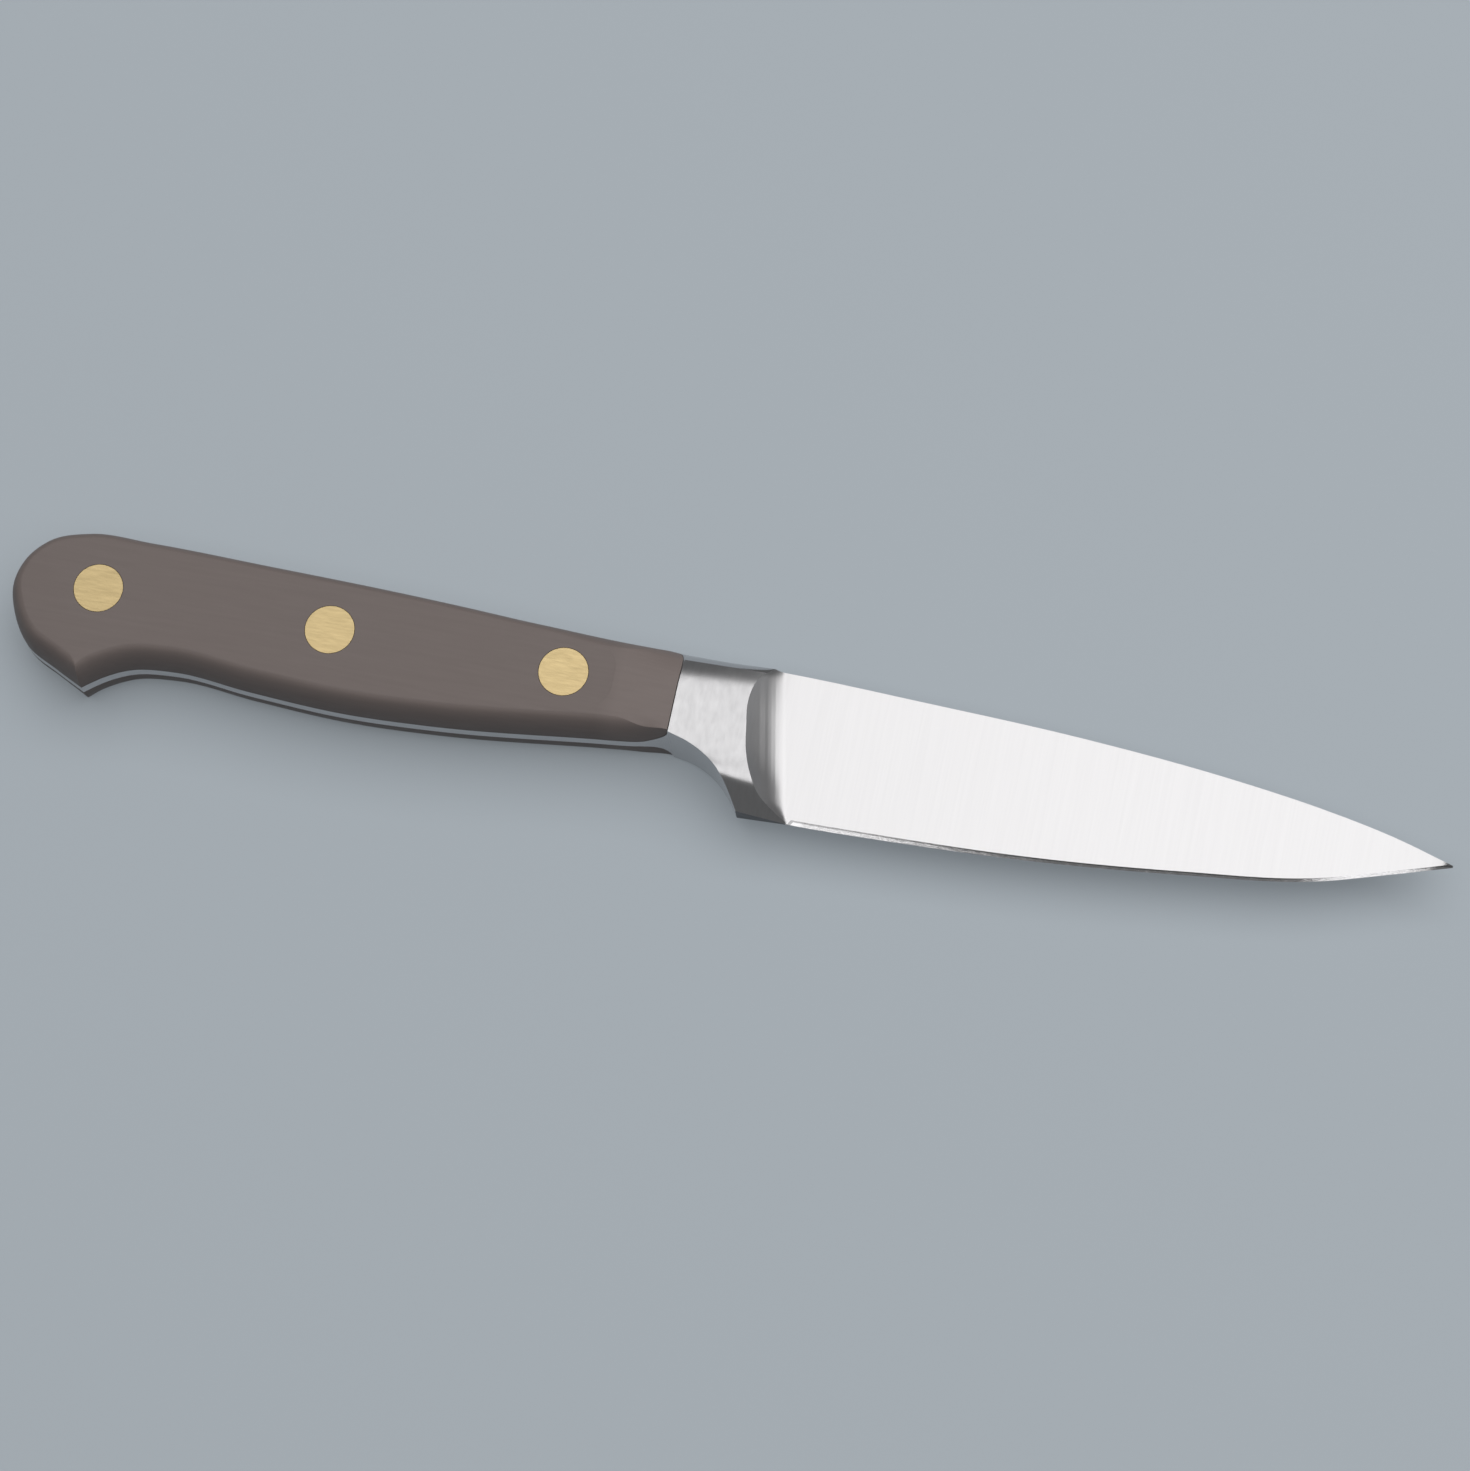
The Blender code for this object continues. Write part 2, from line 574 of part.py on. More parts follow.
def turned(name, x, profile, collection, material=None):
    """Turn a profile of radius and height about an upright axis at x on the line of the rivets."""
    bm = bmesh.new()
    verts = [bm.verts.new((r, 0.0, z)) for r, z in profile]
    for a, b in zip(verts, verts[1:]):
        bm.edges.new((a, b))
    obj = mesh_object(name, bm, collection, material)
    screw = obj.modifiers.new("turn", "SCREW")
    screw.axis = "Z"
    screw.angle = 2 * math.pi
    screw.steps = ROUND_SEGMENTS
    screw.render_steps = ROUND_SEGMENTS
    screw.use_merge_vertices = True
    screw.merge_threshold = MERGE_DISTANCE
    screw.use_smooth_shade = False
    obj.location = (x, 0, 0)
    return obj


def head_floor():
    """Height of the inner face of a rivet's head above the middle plane."""
    return HANDLE_HALF_THICKNESS - RIVET_HEAD_DEPTH


def make_post(name, x, collection, material):
    """Rivet half with a head and a solid post, seen on the right side."""
    top, floor = HANDLE_HALF_THICKNESS, head_floor()
    profile = [(0, top), (RIVET_HEAD_RADIUS, top), (RIVET_HEAD_RADIUS, floor), (RIVET_POST_RADIUS, floor),
               (RIVET_POST_RADIUS, -floor), (0, -floor)]
    return turned(name, x, profile, collection, material)


def make_socket(name, x, collection, material):
    """Rivet half with a head and a hollow barrel that takes the post, on the left side."""
    bottom, floor = -HANDLE_HALF_THICKNESS, -head_floor()
    rim, bore_end = -floor - SEAT_GAP, floor - SEAT_GAP
    bore, barrel = RIVET_POST_RADIUS + SEAT_GAP, RIVET_BARREL_RADIUS
    profile = [(0, bore_end), (bore, bore_end), (bore, rim), (barrel, rim), (barrel, floor),
               (RIVET_HEAD_RADIUS, floor), (RIVET_HEAD_RADIUS, bottom), (0, bottom)]
    return turned(name, x, profile, collection, material)


def rivet_drill(name, x, collection):
    """Stepped drill for one rivet through both scales and the tang."""
    outside, floor = HANDLE_HALF_THICKNESS + CUTTER_MARGIN, head_floor() - SEAT_GAP
    seat, hole = RIVET_HEAD_RADIUS + SEAT_GAP, RIVET_BARREL_RADIUS + SEAT_GAP
    profile = [(0, outside), (seat, outside), (seat, floor), (hole, floor), (hole, -floor),
               (seat, -floor), (seat, -outside), (0, -outside)]
    return make_cutter(turned(name, x, profile, collection))


def build():
    """Model the knife: one forging, two scales and three two-part rivets."""
    clear_scene()
    parts = new_collection("steak_knife")
    cutters = new_collection("cutters")
    knife = bpy.data.objects.new("knife_root", None)
    parts.objects.link(knife)
    drills = [rivet_drill(name + "_drill", x, cutters) for name, x in rivet_positions().items()]

    steel = new_material("blade_steel", **STEEL)
    forging = mesh_object("blade_forging", loft_forging(Forging()), parts, steel)
    for side, label in ((1, "right"), (-1, "left")):
        cut(forging, pocket_prism(label + "_pocket", side, cutters))
        plastic = new_material(label + "_scale_plastic", **SCALE_PLASTIC)
        scale = scale_body(label + "_handle_scale", side, parts, plastic)
        cut(scale, core_prism(label + "_core", side, cutters))
        cut(scale, neck_grinder(label + "_neck_grinder", side, cutters))
        for drill in drills:
            cut(scale, drill)
    for drill in drills:
        cut(forging, drill)

    for name, x in rivet_positions().items():
        make_post(name + "_rivet_post", x, parts, new_material(name + "_post_brass", **BRASS))
        make_socket(name + "_rivet_socket", x, parts, new_material(name + "_socket_brass", **BRASS))

    for obj in list(parts.objects) + list(cutters.objects):
        if obj != knife:
            obj.parent = knife
    stand_on_origin(knife, parts)


def stand_on_origin(knife, parts):
    """Move the knife so that its bounding box stands centred on the origin."""
    bpy.context.view_layer.update()
    graph = bpy.context.evaluated_depsgraph_get()
    corners = []
    for obj in parts.objects:
        if obj.type == "MESH":
            mesh = obj.evaluated_get(graph).to_mesh()
            corners += [obj.matrix_world @ v.co for v in mesh.vertices]
    low = [min(c[i] for c in corners) for i in range(3)]
    high = [max(c[i] for c in corners) for i in range(3)]
    knife.location = (-(low[0] + high[0]) / 2, -(low[1] + high[1]) / 2, -low[2])
    bpy.context.view_layer.update()


build()
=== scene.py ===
"""Looks of a small forged table knife: ground steel, matt taupe scales and flush brass rivets.

The pieces are modelled in the knife's own axes: x runs from the joint between handle and bolster
towards the tip, y towards the spine, and z up, with z = 0 on the middle plane of the blade.
"""

import math

import bmesh
import bpy
import numpy as np
from mathutils import Matrix, Vector


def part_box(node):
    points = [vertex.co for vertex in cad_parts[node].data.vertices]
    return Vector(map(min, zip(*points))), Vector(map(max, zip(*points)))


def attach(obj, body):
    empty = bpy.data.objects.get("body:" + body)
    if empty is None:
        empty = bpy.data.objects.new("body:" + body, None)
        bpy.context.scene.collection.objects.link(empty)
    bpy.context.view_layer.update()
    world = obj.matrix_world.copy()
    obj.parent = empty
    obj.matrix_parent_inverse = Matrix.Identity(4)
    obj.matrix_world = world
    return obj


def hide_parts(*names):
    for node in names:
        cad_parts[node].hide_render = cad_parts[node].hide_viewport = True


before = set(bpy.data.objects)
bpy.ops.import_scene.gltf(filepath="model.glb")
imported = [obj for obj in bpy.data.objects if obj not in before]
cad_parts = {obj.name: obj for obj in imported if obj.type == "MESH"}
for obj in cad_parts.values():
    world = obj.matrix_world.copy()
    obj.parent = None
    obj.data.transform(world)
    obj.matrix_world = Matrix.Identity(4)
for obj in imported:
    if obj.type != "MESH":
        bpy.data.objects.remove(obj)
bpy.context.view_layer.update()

MM = 0.001

# Handle
HANDLE_LENGTH = 92.5 * MM
HANDLE_HALF_THICKNESS = 6.3 * MM
TANG_HALF_THICKNESS = 0.95 * MM
BUTT_TOP_HEIGHT = 8.6 * MM
BUTT_ROUND_LENGTH = 18.0 * MM
BEAK_DEPTH = 12.7 * MM
BEAK_SETBACK = 12.3 * MM
WAIST_SETBACK = 24.0 * MM
WAIST_DEPTH = 8.25 * MM
BELLY_SETBACK = 48.1 * MM
BELLY_DEPTH = 9.75 * MM
NECK_TOP_HEIGHT = 6.8 * MM
NECK_DEPTH = 5.45 * MM
SIDE_ROUNDING = 2.1 * MM
TOP_ROUNDING = 1.8 * MM
NECK_ROUNDING = 0.5 * MM
NECK_TOP_ROUNDING = 3.8 * MM
ROUNDING_RUNOUT = 7.0 * MM
TOP_RUNOUT = 20.0 * MM
UPPER_BLEND = 8.0 * MM
CORNER_SMOOTHING = 3.0 * MM
JOINT_OVERRUN = 2.0 * MM
NECK_OVERRUN_SLOPE = 0.175
NECK_RELIEF_LENGTH = 8.7 * MM
NECK_RELIEF_RADIUS = 70.0 * MM
FACET_TOP = 4.8 * MM         # ground flat of the scale, where it ends before the bolster
FACET_BOTTOM = -4.4 * MM
FACET_CORNER = 3.5 * MM
FACET_LINE = 0.25 * MM       # width of the step between the flat and the neck
PILLOW_START = -3.4 * MM     # height from which the neck also rounds towards the underside
PILLOW_RADIUS = 4.0 * MM
PILLOW_RUNOUT = 7.0 * MM
PILLOW_RUNIN = 3.0 * MM
CROWN_RUNOUT = 14.0 * MM

# Bolster and guard
BOLSTER_HALF_THICKNESS = 5.7 * MM
BOLSTER_FILLET = 4.5 * MM
FRONT_HALF_THICKNESS = 3.6 * MM
GUARD_THINNING = 1.05 * MM
GUARD_THINNING_REACH = 9.0 * MM
STRIP_HEIGHT = 5.2 * MM      # height, at the joint, of the polished strip's lower line
STRIP_CENTER = 1.44 * MM     # height of the centre of the ellipse that rounds it
CROWN_WIDTH = 4.5 * MM       # of the side's part that falls towards that line
CROWN_DROP = 1.24 * MM       # its fall
EDGE_BREAK = 0.07 * MM
EDGE_BREAK_SHARE = 0.007
CHEEK_DEPTH = 8.2 * MM       # depth from which the rows of the guard close up
CHEEK_SLOPE = 0.63           # of the flat cheeks that chamfer the guard towards its foot
CREST_BLEND = 0.9 * MM
FOOT_REACH = 10.7 * MM
FOOT_DEPTH = 13.45 * MM
FOOT_HALF_THICKNESS = 1.5 * MM

# Blade
HEEL_REACH = 17.8 * MM
HEEL_DEPTH = 13.6 * MM
EDGE_LENGTH = 87.7 * MM
SPINE_RISE = 6.95 * MM
TIP_DEPTH = 2.85 * MM
TIP_BLUNT = 0.2 * MM
SPINE_HALF_THICKNESS = 1.0 * MM
TIP_HALF_THICKNESS = 0.3 * MM
SHOULDER_HALF_THICKNESS = 0.17 * MM  # of the blade where the whetted bevel starts
HEEL_SHOULDER_HALF_THICKNESS = 0.14 * MM
TIP_SHOULDER_HALF_THICKNESS = 0.095 * MM
TIP_THINNING_START = 0.72    # shares of the edge's length
TIP_THINNING_RUN = 0.14
HEEL_HALF_THICKNESS = 0.15 * MM
EDGE_HALF_THICKNESS = 0.02 * MM
THINNING_POWER = 1.5
PLUNGE_REACH = 9.5 * MM
PLUNGE_SWEEP = 2.5 * MM
GRIND_END_REACH = 14.9 * MM  # where the wheel's hollow ends, on a leaning line
GRIND_LEAN = 0.2
GRIND_SWEEP = 1.9            # 1 for a straight slope, 2 for a round hollow
LEAST_GRIND_WIDTH = 0.4 * MM
GRIND_RIPPLES = ((1.9 * MM, 0.05), (1.07 * MM, 0.05), (0.53 * MM, 0.04))  # length, steepest slope
RIPPLE_SHIFT = 0.6 * MM
RIPPLE_RUNOUT = 2.5 * MM
RIPPLE_RUNIN = 0.8 * MM
BEVEL_WIDTH = 0.45 * MM      # whetted bevel along the edge
HEEL_BEVEL_WIDTH = 0.65 * MM
HEEL_BEVEL_RUN = 42.0 * MM   # length over which it narrows
BEVEL_START_RUN = 1.2 * MM   # length over which it starts at the heel
# painted light on the whetted bevel: drawn lighter over its face and darker in a thin line at its
# shoulder
BEVEL_SHADE_LINE_START = 0.115 * MM  # half thicknesses over which it darkens towards its shoulder
BEVEL_SHADE_LINE_END = 0.1255 * MM
BEVEL_TIP_SHARE = 0.7        # most of the blade's height that it takes up at the tip

# Rivets
RIVET_HEAD_RADIUS = 3.4 * MM
RIVET_HEAD_DEPTH = 2.4 * MM
RIVET_CHAMFER = 0.05 * MM
REAR_RIVET_SETBACK = 12.5 * MM
FRONT_RIVET_SETBACK = 15.35 * MM

# Fits of the finished knife, tighter than the clearances of the solids
SEAT_GAP = 0.06 * MM
RIVET_GAP = 0.025 * MM
CUTTER_MARGIN = 4.0 * MM

SIDES = ((1, "right"), (-1, "left"))

# Mesh fineness
OUTLINE_STEPS = 16
SIDE_LEVELS = 20
BUTT_COLUMNS = 24
TANG_COLUMNS = 70
BOLSTER_COLUMNS = 40
PLUNGE_COLUMNS = 60
BLADE_COLUMNS = 110
STRIP_ROWS = 12              # polished strip along the bolster's spine side
CROWN_ROWS = 12              # from there down to the flat of the side
SIDE_ROWS = 14
GUARD_ROWS = 12
CHEEK_ROWS = 24
FIRST_ROW_SHARE = 0.008
STRIP_SHARE = 0.053
CROWN_SHARE = 0.26
JOINT_SHARE = 0.47
CHEEK_SHARE = 0.74
LAST_ROW_SHARE = 0.997
TIP_CROWDING = 1.15
BUTT_TRIM = 0.02 * MM
PLACE_ROUNDS = 6
ROUND_SEGMENTS = 96
ARC_STEPS = 32
NECK_STEPS = 72
SMOOTH_ANGLE = math.radians(25)

TIP_REACH = HEEL_REACH + EDGE_LENGTH


def knife_origin():
    """Where the knife's own origin lies in the frame: tip, line of the rivets and middle plane."""
    low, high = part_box("blade_forging")
    rivet_low, rivet_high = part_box("rear_rivet_post")
    return Vector((high.x - TIP_REACH, 0.5 * (rivet_low.y + rivet_high.y), 0.5 * (low.z + high.z)))


ORIGIN = knife_origin()


def smooth_curve(points, steps):
    """Points on a smooth curve through the given ones, whose spacing may be uneven."""
    points = [np.array(p, float) for p in points]
    spans = [float(np.linalg.norm(b - a)) for a, b in zip(points, points[1:])]
    slopes = [(b - a) / h for a, b, h in zip(points, points[1:], spans)]
    tangents = [slopes[0]]
    for i in range(1, len(points) - 1):
        before, after = spans[i - 1], spans[i]
        tangents.append((slopes[i - 1] * after + slopes[i] * before) / (before + after))
    tangents.append(slopes[-1])
    out = []
    for i, h in enumerate(spans):
        for k in range(steps):
            t = k / steps
            out.append(points[i] * (1 + 2 * t) * (1 - t) ** 2 + points[i + 1] * t * t * (3 - 2 * t)
                       + tangents[i] * h * t * (1 - t) ** 2 - tangents[i + 1] * h * t * t * (1 - t))
    out.append(points[-1])
    return out


def smooth_step(t):
    """Ease from 0 to 1."""
    t = min(1.0, max(0.0, t))
    return t * t * (3 - 2 * t)


def mix(a, b, share):
    """The value at a share of the way from a to b."""
    return a + (b - a) * share


def stretch(start, end, shape):
    """Points of an outline from start to end, at shares of the way along x and along y."""
    return [(mix(start[0], end[0], s), mix(start[1], end[1], t)) for s, t in shape]


def handle_upper_points():
    """Spine side of the handle from just past the joint, round the butt, to the hooked corner."""
    neck, beak = (0.0, NECK_TOP_HEIGHT), (-HANDLE_LENGTH + BEAK_SETBACK, -BEAK_DEPTH)
    corner = (-HANDLE_LENGTH + BUTT_ROUND_LENGTH, BUTT_TOP_HEIGHT)
    points = [(JOINT_OVERRUN, NECK_TOP_HEIGHT), neck]
    points += stretch(neck, corner, [(0.134, -0.028), (0.268, 0.083), (0.416, 0.389), (0.55, 0.611),
                                     (0.779, 0.833), (1.0, 1.0)])
    points += stretch((-HANDLE_LENGTH, -BEAK_DEPTH), corner,
                      [(0.511, 0.991), (0.217, 0.901), (0.05, 0.737), (0.0, 0.549)])
    points += stretch((-HANDLE_LENGTH, BUTT_TOP_HEIGHT), beak,
                      [(0.073, 0.596), (0.309, 0.793), (0.667, 0.906), (1.0, 1.0)])
    return points


def handle_lower_points():
    """Underside of the handle from the hooked corner to just past the bolster joint."""
    beak, neck = (-HANDLE_LENGTH + BEAK_SETBACK, -BEAK_DEPTH), (0.0, -NECK_DEPTH)
    waist = (-HANDLE_LENGTH + WAIST_SETBACK, -WAIST_DEPTH)
    belly = (-HANDLE_LENGTH + BELLY_SETBACK, -BELLY_DEPTH)
    points = [beak]
    points += stretch(beak, waist, [(0.188, 0.382), (0.513, 0.82), (1.0, 1.0)])
    points += stretch(waist, belly, [(0.456, 0.567), (1.0, 1.0)])
    points += stretch(neck, belly, [(0.698, 0.872), (0.248, 0.372), (0.101, 0.198), (0.0, 0.0)])
    points.append((JOINT_OVERRUN, -NECK_DEPTH - NECK_OVERRUN_SLOPE * JOINT_OVERRUN))
    return points


def guard_points():
    """Finger guard's concave rear face, from the joint down to the foot."""
    return stretch((0.0, -NECK_DEPTH), (FOOT_REACH, -FOOT_DEPTH),
                   [(0.0, 0.0), (0.25, 0.08), (0.44, 0.19), (0.64, 0.37),
                    (0.81, 0.62), (0.94, 0.87), (1.0, 1.0)])


def edge_points():
    """Foot, cutting edge and tip."""
    return [(FOOT_REACH, -FOOT_DEPTH)] + stretch(
        (HEEL_REACH, -HEEL_DEPTH), (TIP_REACH, -TIP_DEPTH - TIP_BLUNT),
        [(0.0, 0.0), (0.14, 0.019), (0.36, 0.095), (0.6, 0.275),
         (0.8, 0.502), (0.91, 0.768), (1.0, 1.0)])


def spine_points():
    """Spine from the joint over the bolster and blade to the tip."""
    plunge = (PLUNGE_REACH + PLUNGE_SWEEP, SPINE_RISE)
    return [(0.0, NECK_TOP_HEIGHT), plunge] + stretch(
        plunge, (TIP_REACH, -TIP_DEPTH),
        [(0.221, 0.067), (0.447, 0.165), (0.672, 0.361),
         (0.812, 0.557), (0.906, 0.742), (1.0, 1.0)])


def plunge_points():
    """Plunge line, where the bolster meets the blade, from the spine down to the heel."""
    middle = (PLUNGE_REACH, 0.0)
    points = stretch(middle, (PLUNGE_REACH + PLUNGE_SWEEP, SPINE_RISE),
                     [(1.0, 1.0), (0.4, 0.79), (0.06, 0.45), (0.0, 0.15)])
    points += stretch(middle, (HEEL_REACH, -HEEL_DEPTH),
                      [(0.054, 0.15), (0.139, 0.41), (0.265, 0.61),
                       (0.464, 0.8), (0.771, 0.925), (1.0, 1.0)])
    return points


def handle_half_thickness(x):
    """Half thickness over the flats, eased in just before the bolster."""
    reach = max(0.0, min(x, 0.0) + NECK_RELIEF_LENGTH)
    return HANDLE_HALF_THICKNESS - reach ** 2 / (2 * NECK_RELIEF_RADIUS)


def neck_half_thickness(x, y):
    """Half thickness of the scale beyond its ground flat, falling in with the bolster's crown."""
    middle, half_height = 0.5 * (FACET_TOP + FACET_BOTTOM), 0.5 * (FACET_TOP - FACET_BOTTOM)
    past = max(0.0, x + NECK_RELIEF_LENGTH + FACET_CORNER)
    beside = max(0.0, abs(y - middle) - half_height + FACET_CORNER)
    reach = max(0.0, math.hypot(past, beside) - FACET_CORNER)
    under = max(0.0, PILLOW_START - y)
    half = HANDLE_HALF_THICKNESS - reach ** 2 / (2 * NECK_RELIEF_RADIUS)
    pillow = smooth_step(1 + x / PILLOW_RUNOUT) * smooth_step(-x / PILLOW_RUNIN)
    half -= under ** 2 / (2 * PILLOW_RADIUS) * pillow
    heights, halves = np.array(joint_crown()[::-1]).T
    crowned = float(np.interp(y, heights, halves, left=BOLSTER_HALF_THICKNESS))
    return half - (BOLSTER_HALF_THICKNESS - crowned) * smooth_step(1 + x / CROWN_RUNOUT)


def shares(count):
    """Even steps from 0 up to, but without, 1."""
    return [k / count for k in range(count)]


def between(start, end, count):
    """Even steps from start up to, but without, end."""
    return [mix(start, end, s) for s in shares(count)]


def easing(start, end, count):
    """Steps from start up to, but without, end, that close up towards the end."""
    return [mix(start, end, math.sin(0.5 * math.pi * s)) for s in shares(count)]


def along(curve, y):
    """How far along the knife a falling curve lies at height y."""
    xs, ys = np.array(curve)[::-1].T
    return float(np.interp(y, ys, xs))


def rounded_side(angle, rounding, half_thickness):
    """Draw-in and height of a side rounded as a quarter ellipse, at an angle round it."""
    drawn = rounding * (1 - math.cos(angle))
    return drawn, mix(TANG_HALF_THICKNESS, half_thickness, math.sin(angle))


def crown_fall(above_line):
    """Fall of the bolster's side at a height above the strip's line, which is negative below it."""
    return CROWN_DROP * max(0.0, 1 + above_line / CROWN_WIDTH) ** 2


def joint_crown():
    """Spine side of the bolster's profile at the joint, as y and half thickness by rows."""
    reach = NECK_TOP_HEIGHT - STRIP_CENTER
    line_angle = math.acos((STRIP_HEIGHT - STRIP_CENTER) / reach)
    rise = (BOLSTER_HALF_THICKNESS - CROWN_DROP - TANG_HALF_THICKNESS) / math.sin(line_angle)
    profile = [(STRIP_CENTER + reach * math.cos(a), TANG_HALF_THICKNESS + rise * math.sin(a))
               for a in between(0.0, line_angle, STRIP_ROWS)]
    for y in between(STRIP_HEIGHT, STRIP_HEIGHT - CROWN_WIDTH, CROWN_ROWS):
        profile.append((y, BOLSTER_HALF_THICKNESS - crown_fall(y - STRIP_HEIGHT)))
    return profile


def guard_half(x):
    """Half thickness of the guard along its rear face, without its cheeks."""
    ahead = max(0.0, 1 - x / GUARD_THINNING_REACH)
    return BOLSTER_HALF_THICKNESS - GUARD_THINNING * (1 - ahead ** 2)


def cheek_half(x, y):
    """Half thickness over the guard's flat cheeks, which meet the foot and the heel."""
    lean = (FOOT_HALF_THICKNESS - HEEL_HALF_THICKNESS) / (HEEL_REACH - FOOT_REACH)
    half = FOOT_HALF_THICKNESS - lean * (x - FOOT_REACH) + CHEEK_SLOPE * (y + FOOT_DEPTH)
    return max(HEEL_HALF_THICKNESS, half)


def rounded_lesser(a, b):
    """The lesser of two half thicknesses, rounded where they cross."""
    overlap = max(0.0, 1 - abs(a - b) / CREST_BLEND)
    return min(a, b) - overlap ** 2 * CREST_BLEND / 4


def near_heel(x):
    """From 1 at the heel down to 0 where the bevel has narrowed."""
    return smooth_step(1 - (x - HEEL_REACH) / HEEL_BEVEL_RUN)


def near_tip(x):
    """From 0 up to 1 where the shoulder of the bevel has thinned towards the tip."""
    return smooth_step(((x - HEEL_REACH) / EDGE_LENGTH - TIP_THINNING_START) / TIP_THINNING_RUN)


def grind_ripple(x, y):
    """Height of the hollow's streaks, which run along the leaning line of its end."""
    short = GRIND_END_REACH - GRIND_LEAN * y - x - RIPPLE_SHIFT
    ripple = 0.0
    for length, steepest in GRIND_RIPPLES:
        turns = 2 * math.pi / length
        ripple += steepest / turns * math.sin(turns * short)
    return ripple


class Forging:
    """One-piece blade, bolster and tang, as sections from the butt to the tip."""

    def __init__(self):
        upper = smooth_curve(handle_upper_points(), OUTLINE_STEPS)
        lower = smooth_curve(handle_lower_points(), OUTLINE_STEPS)
        end = min(range(len(upper)), key=lambda i: upper[i][0])
        self.butt_x = float(upper[end][0])
        self.tang_top = np.array(upper[end::-1]).T
        self.tang_bottom = np.array(upper[end:-1] + lower).T
        self.spine = np.array(smooth_curve(spine_points(), OUTLINE_STEPS)).T
        self.edge = np.array(smooth_curve(edge_points(), OUTLINE_STEPS)).T
        self.rear = self.rear_line()
        self.plunge = self.plunge_line()

    def rear_line(self):
        """Bolster's rear boundary by rows, as x, y and half thickness: joint, then guard."""
        line = [(0.0, y, half) for y, half in joint_crown()]
        for y in between(STRIP_HEIGHT - CROWN_WIDTH, -NECK_DEPTH, SIDE_ROWS):
            line.append((0.0, y, BOLSTER_HALF_THICKNESS))
        guard = smooth_curve(guard_points(), OUTLINE_STEPS)
        heights = between(-NECK_DEPTH, -CHEEK_DEPTH, GUARD_ROWS)
        heights += easing(-CHEEK_DEPTH, -FOOT_DEPTH, CHEEK_ROWS)
        heights.append(-FOOT_DEPTH)
        for y in heights:
            x = along(guard, y)
            line.append((x, y, guard_half(x)))
        return line

    def plunge_line(self):
        """Plunge line by rows that match the rear boundary's."""
        curve = smooth_curve(plunge_points(), OUTLINE_STEPS)
        steps = [np.linalg.norm(b - a) for a, b in zip(curve, curve[1:])]
        lengths = np.concatenate(([0.0], np.cumsum(steps))) / sum(steps)
        marks = [0.0] + between(FIRST_ROW_SHARE, STRIP_SHARE, STRIP_ROWS - 1)
        marks += between(STRIP_SHARE, CROWN_SHARE, CROWN_ROWS)
        marks += between(CROWN_SHARE, JOINT_SHARE, SIDE_ROWS)
        marks += between(JOINT_SHARE, CHEEK_SHARE, GUARD_ROWS)
        marks += easing(CHEEK_SHARE, LAST_ROW_SHARE, CHEEK_ROWS)
        marks.append(1.0)
        xs, ys = np.array(curve).T
        return [(float(np.interp(m, lengths, xs)), float(np.interp(m, lengths, ys))) for m in marks]

    def blade_top(self, x):
        """Height of the spine."""
        return float(np.interp(x, *self.spine))

    def blade_bottom(self, x):
        """Height of the edge."""
        return float(np.interp(x, *self.edge))

    def bevel_width(self, x):
        """Width of the whetted bevel, widest at the heel."""
        width = mix(BEVEL_WIDTH, HEEL_BEVEL_WIDTH, near_heel(x))
        return min(width, BEVEL_TIP_SHARE * (self.blade_top(x) - self.blade_bottom(x)))

    def shoulder_half(self, x):
        """Half thickness of the blade where the bevel starts."""
        half = mix(SHOULDER_HALF_THICKNESS, TIP_SHOULDER_HALF_THICKNESS, near_tip(x))
        half = mix(half, HEEL_SHOULDER_HALF_THICKNESS, near_heel(x))
        return half * min(1.0, self.bevel_width(x) / BEVEL_WIDTH)

    def blade_half(self, x, y):
        """Flat-ground wedge from the spine to the edge, thinning towards the tip."""
        reach = max(0.0, (x - HEEL_REACH) / EDGE_LENGTH)
        spine = mix(SPINE_HALF_THICKNESS, TIP_HALF_THICKNESS, reach ** THINNING_POWER)
        top, bottom = self.blade_top(x), self.blade_bottom(x)
        share = (top - y) / max(top - bottom, TIP_BLUNT)
        return mix(spine, self.shoulder_half(x), min(1.0, share))

    def front_half(self, x, y):
        """Half thickness of the bolster at the plunge line."""
        half = rounded_lesser(FRONT_HALF_THICKNESS, cheek_half(x, y)) - self.crown(x, y)
        return max(self.blade_half(x, y), half)

    def hollow(self, plunge, end):
        """Wheel's hollow along one row, from the plunge line to its end on the blade's flat."""
        width = math.hypot(end[0] - plunge[0], end[1] - plunge[1])
        rise = self.front_half(*plunge) - self.blade_half(*plunge)
        points = []
        for s in shares(PLUNGE_COLUMNS):
            x, y = mix(plunge[0], end[0], s), mix(plunge[1], end[1], s)
            fade = smooth_step((1 - s) * width / RIPPLE_RUNOUT)
            fade *= smooth_step(s * width / RIPPLE_RUNIN)
            half = self.blade_half(x, y) + rise * (1 - s) ** GRIND_SWEEP
            points.append((x, y, half + grind_ripple(x, y) * fade))
        return points

    def edge_half(self, x):
        """Half thickness of the whetted edge, which starts at the heel."""
        start = smooth_step((x - HEEL_REACH) / BEVEL_START_RUN)
        return mix(HEEL_HALF_THICKNESS, EDGE_HALF_THICKNESS, start)

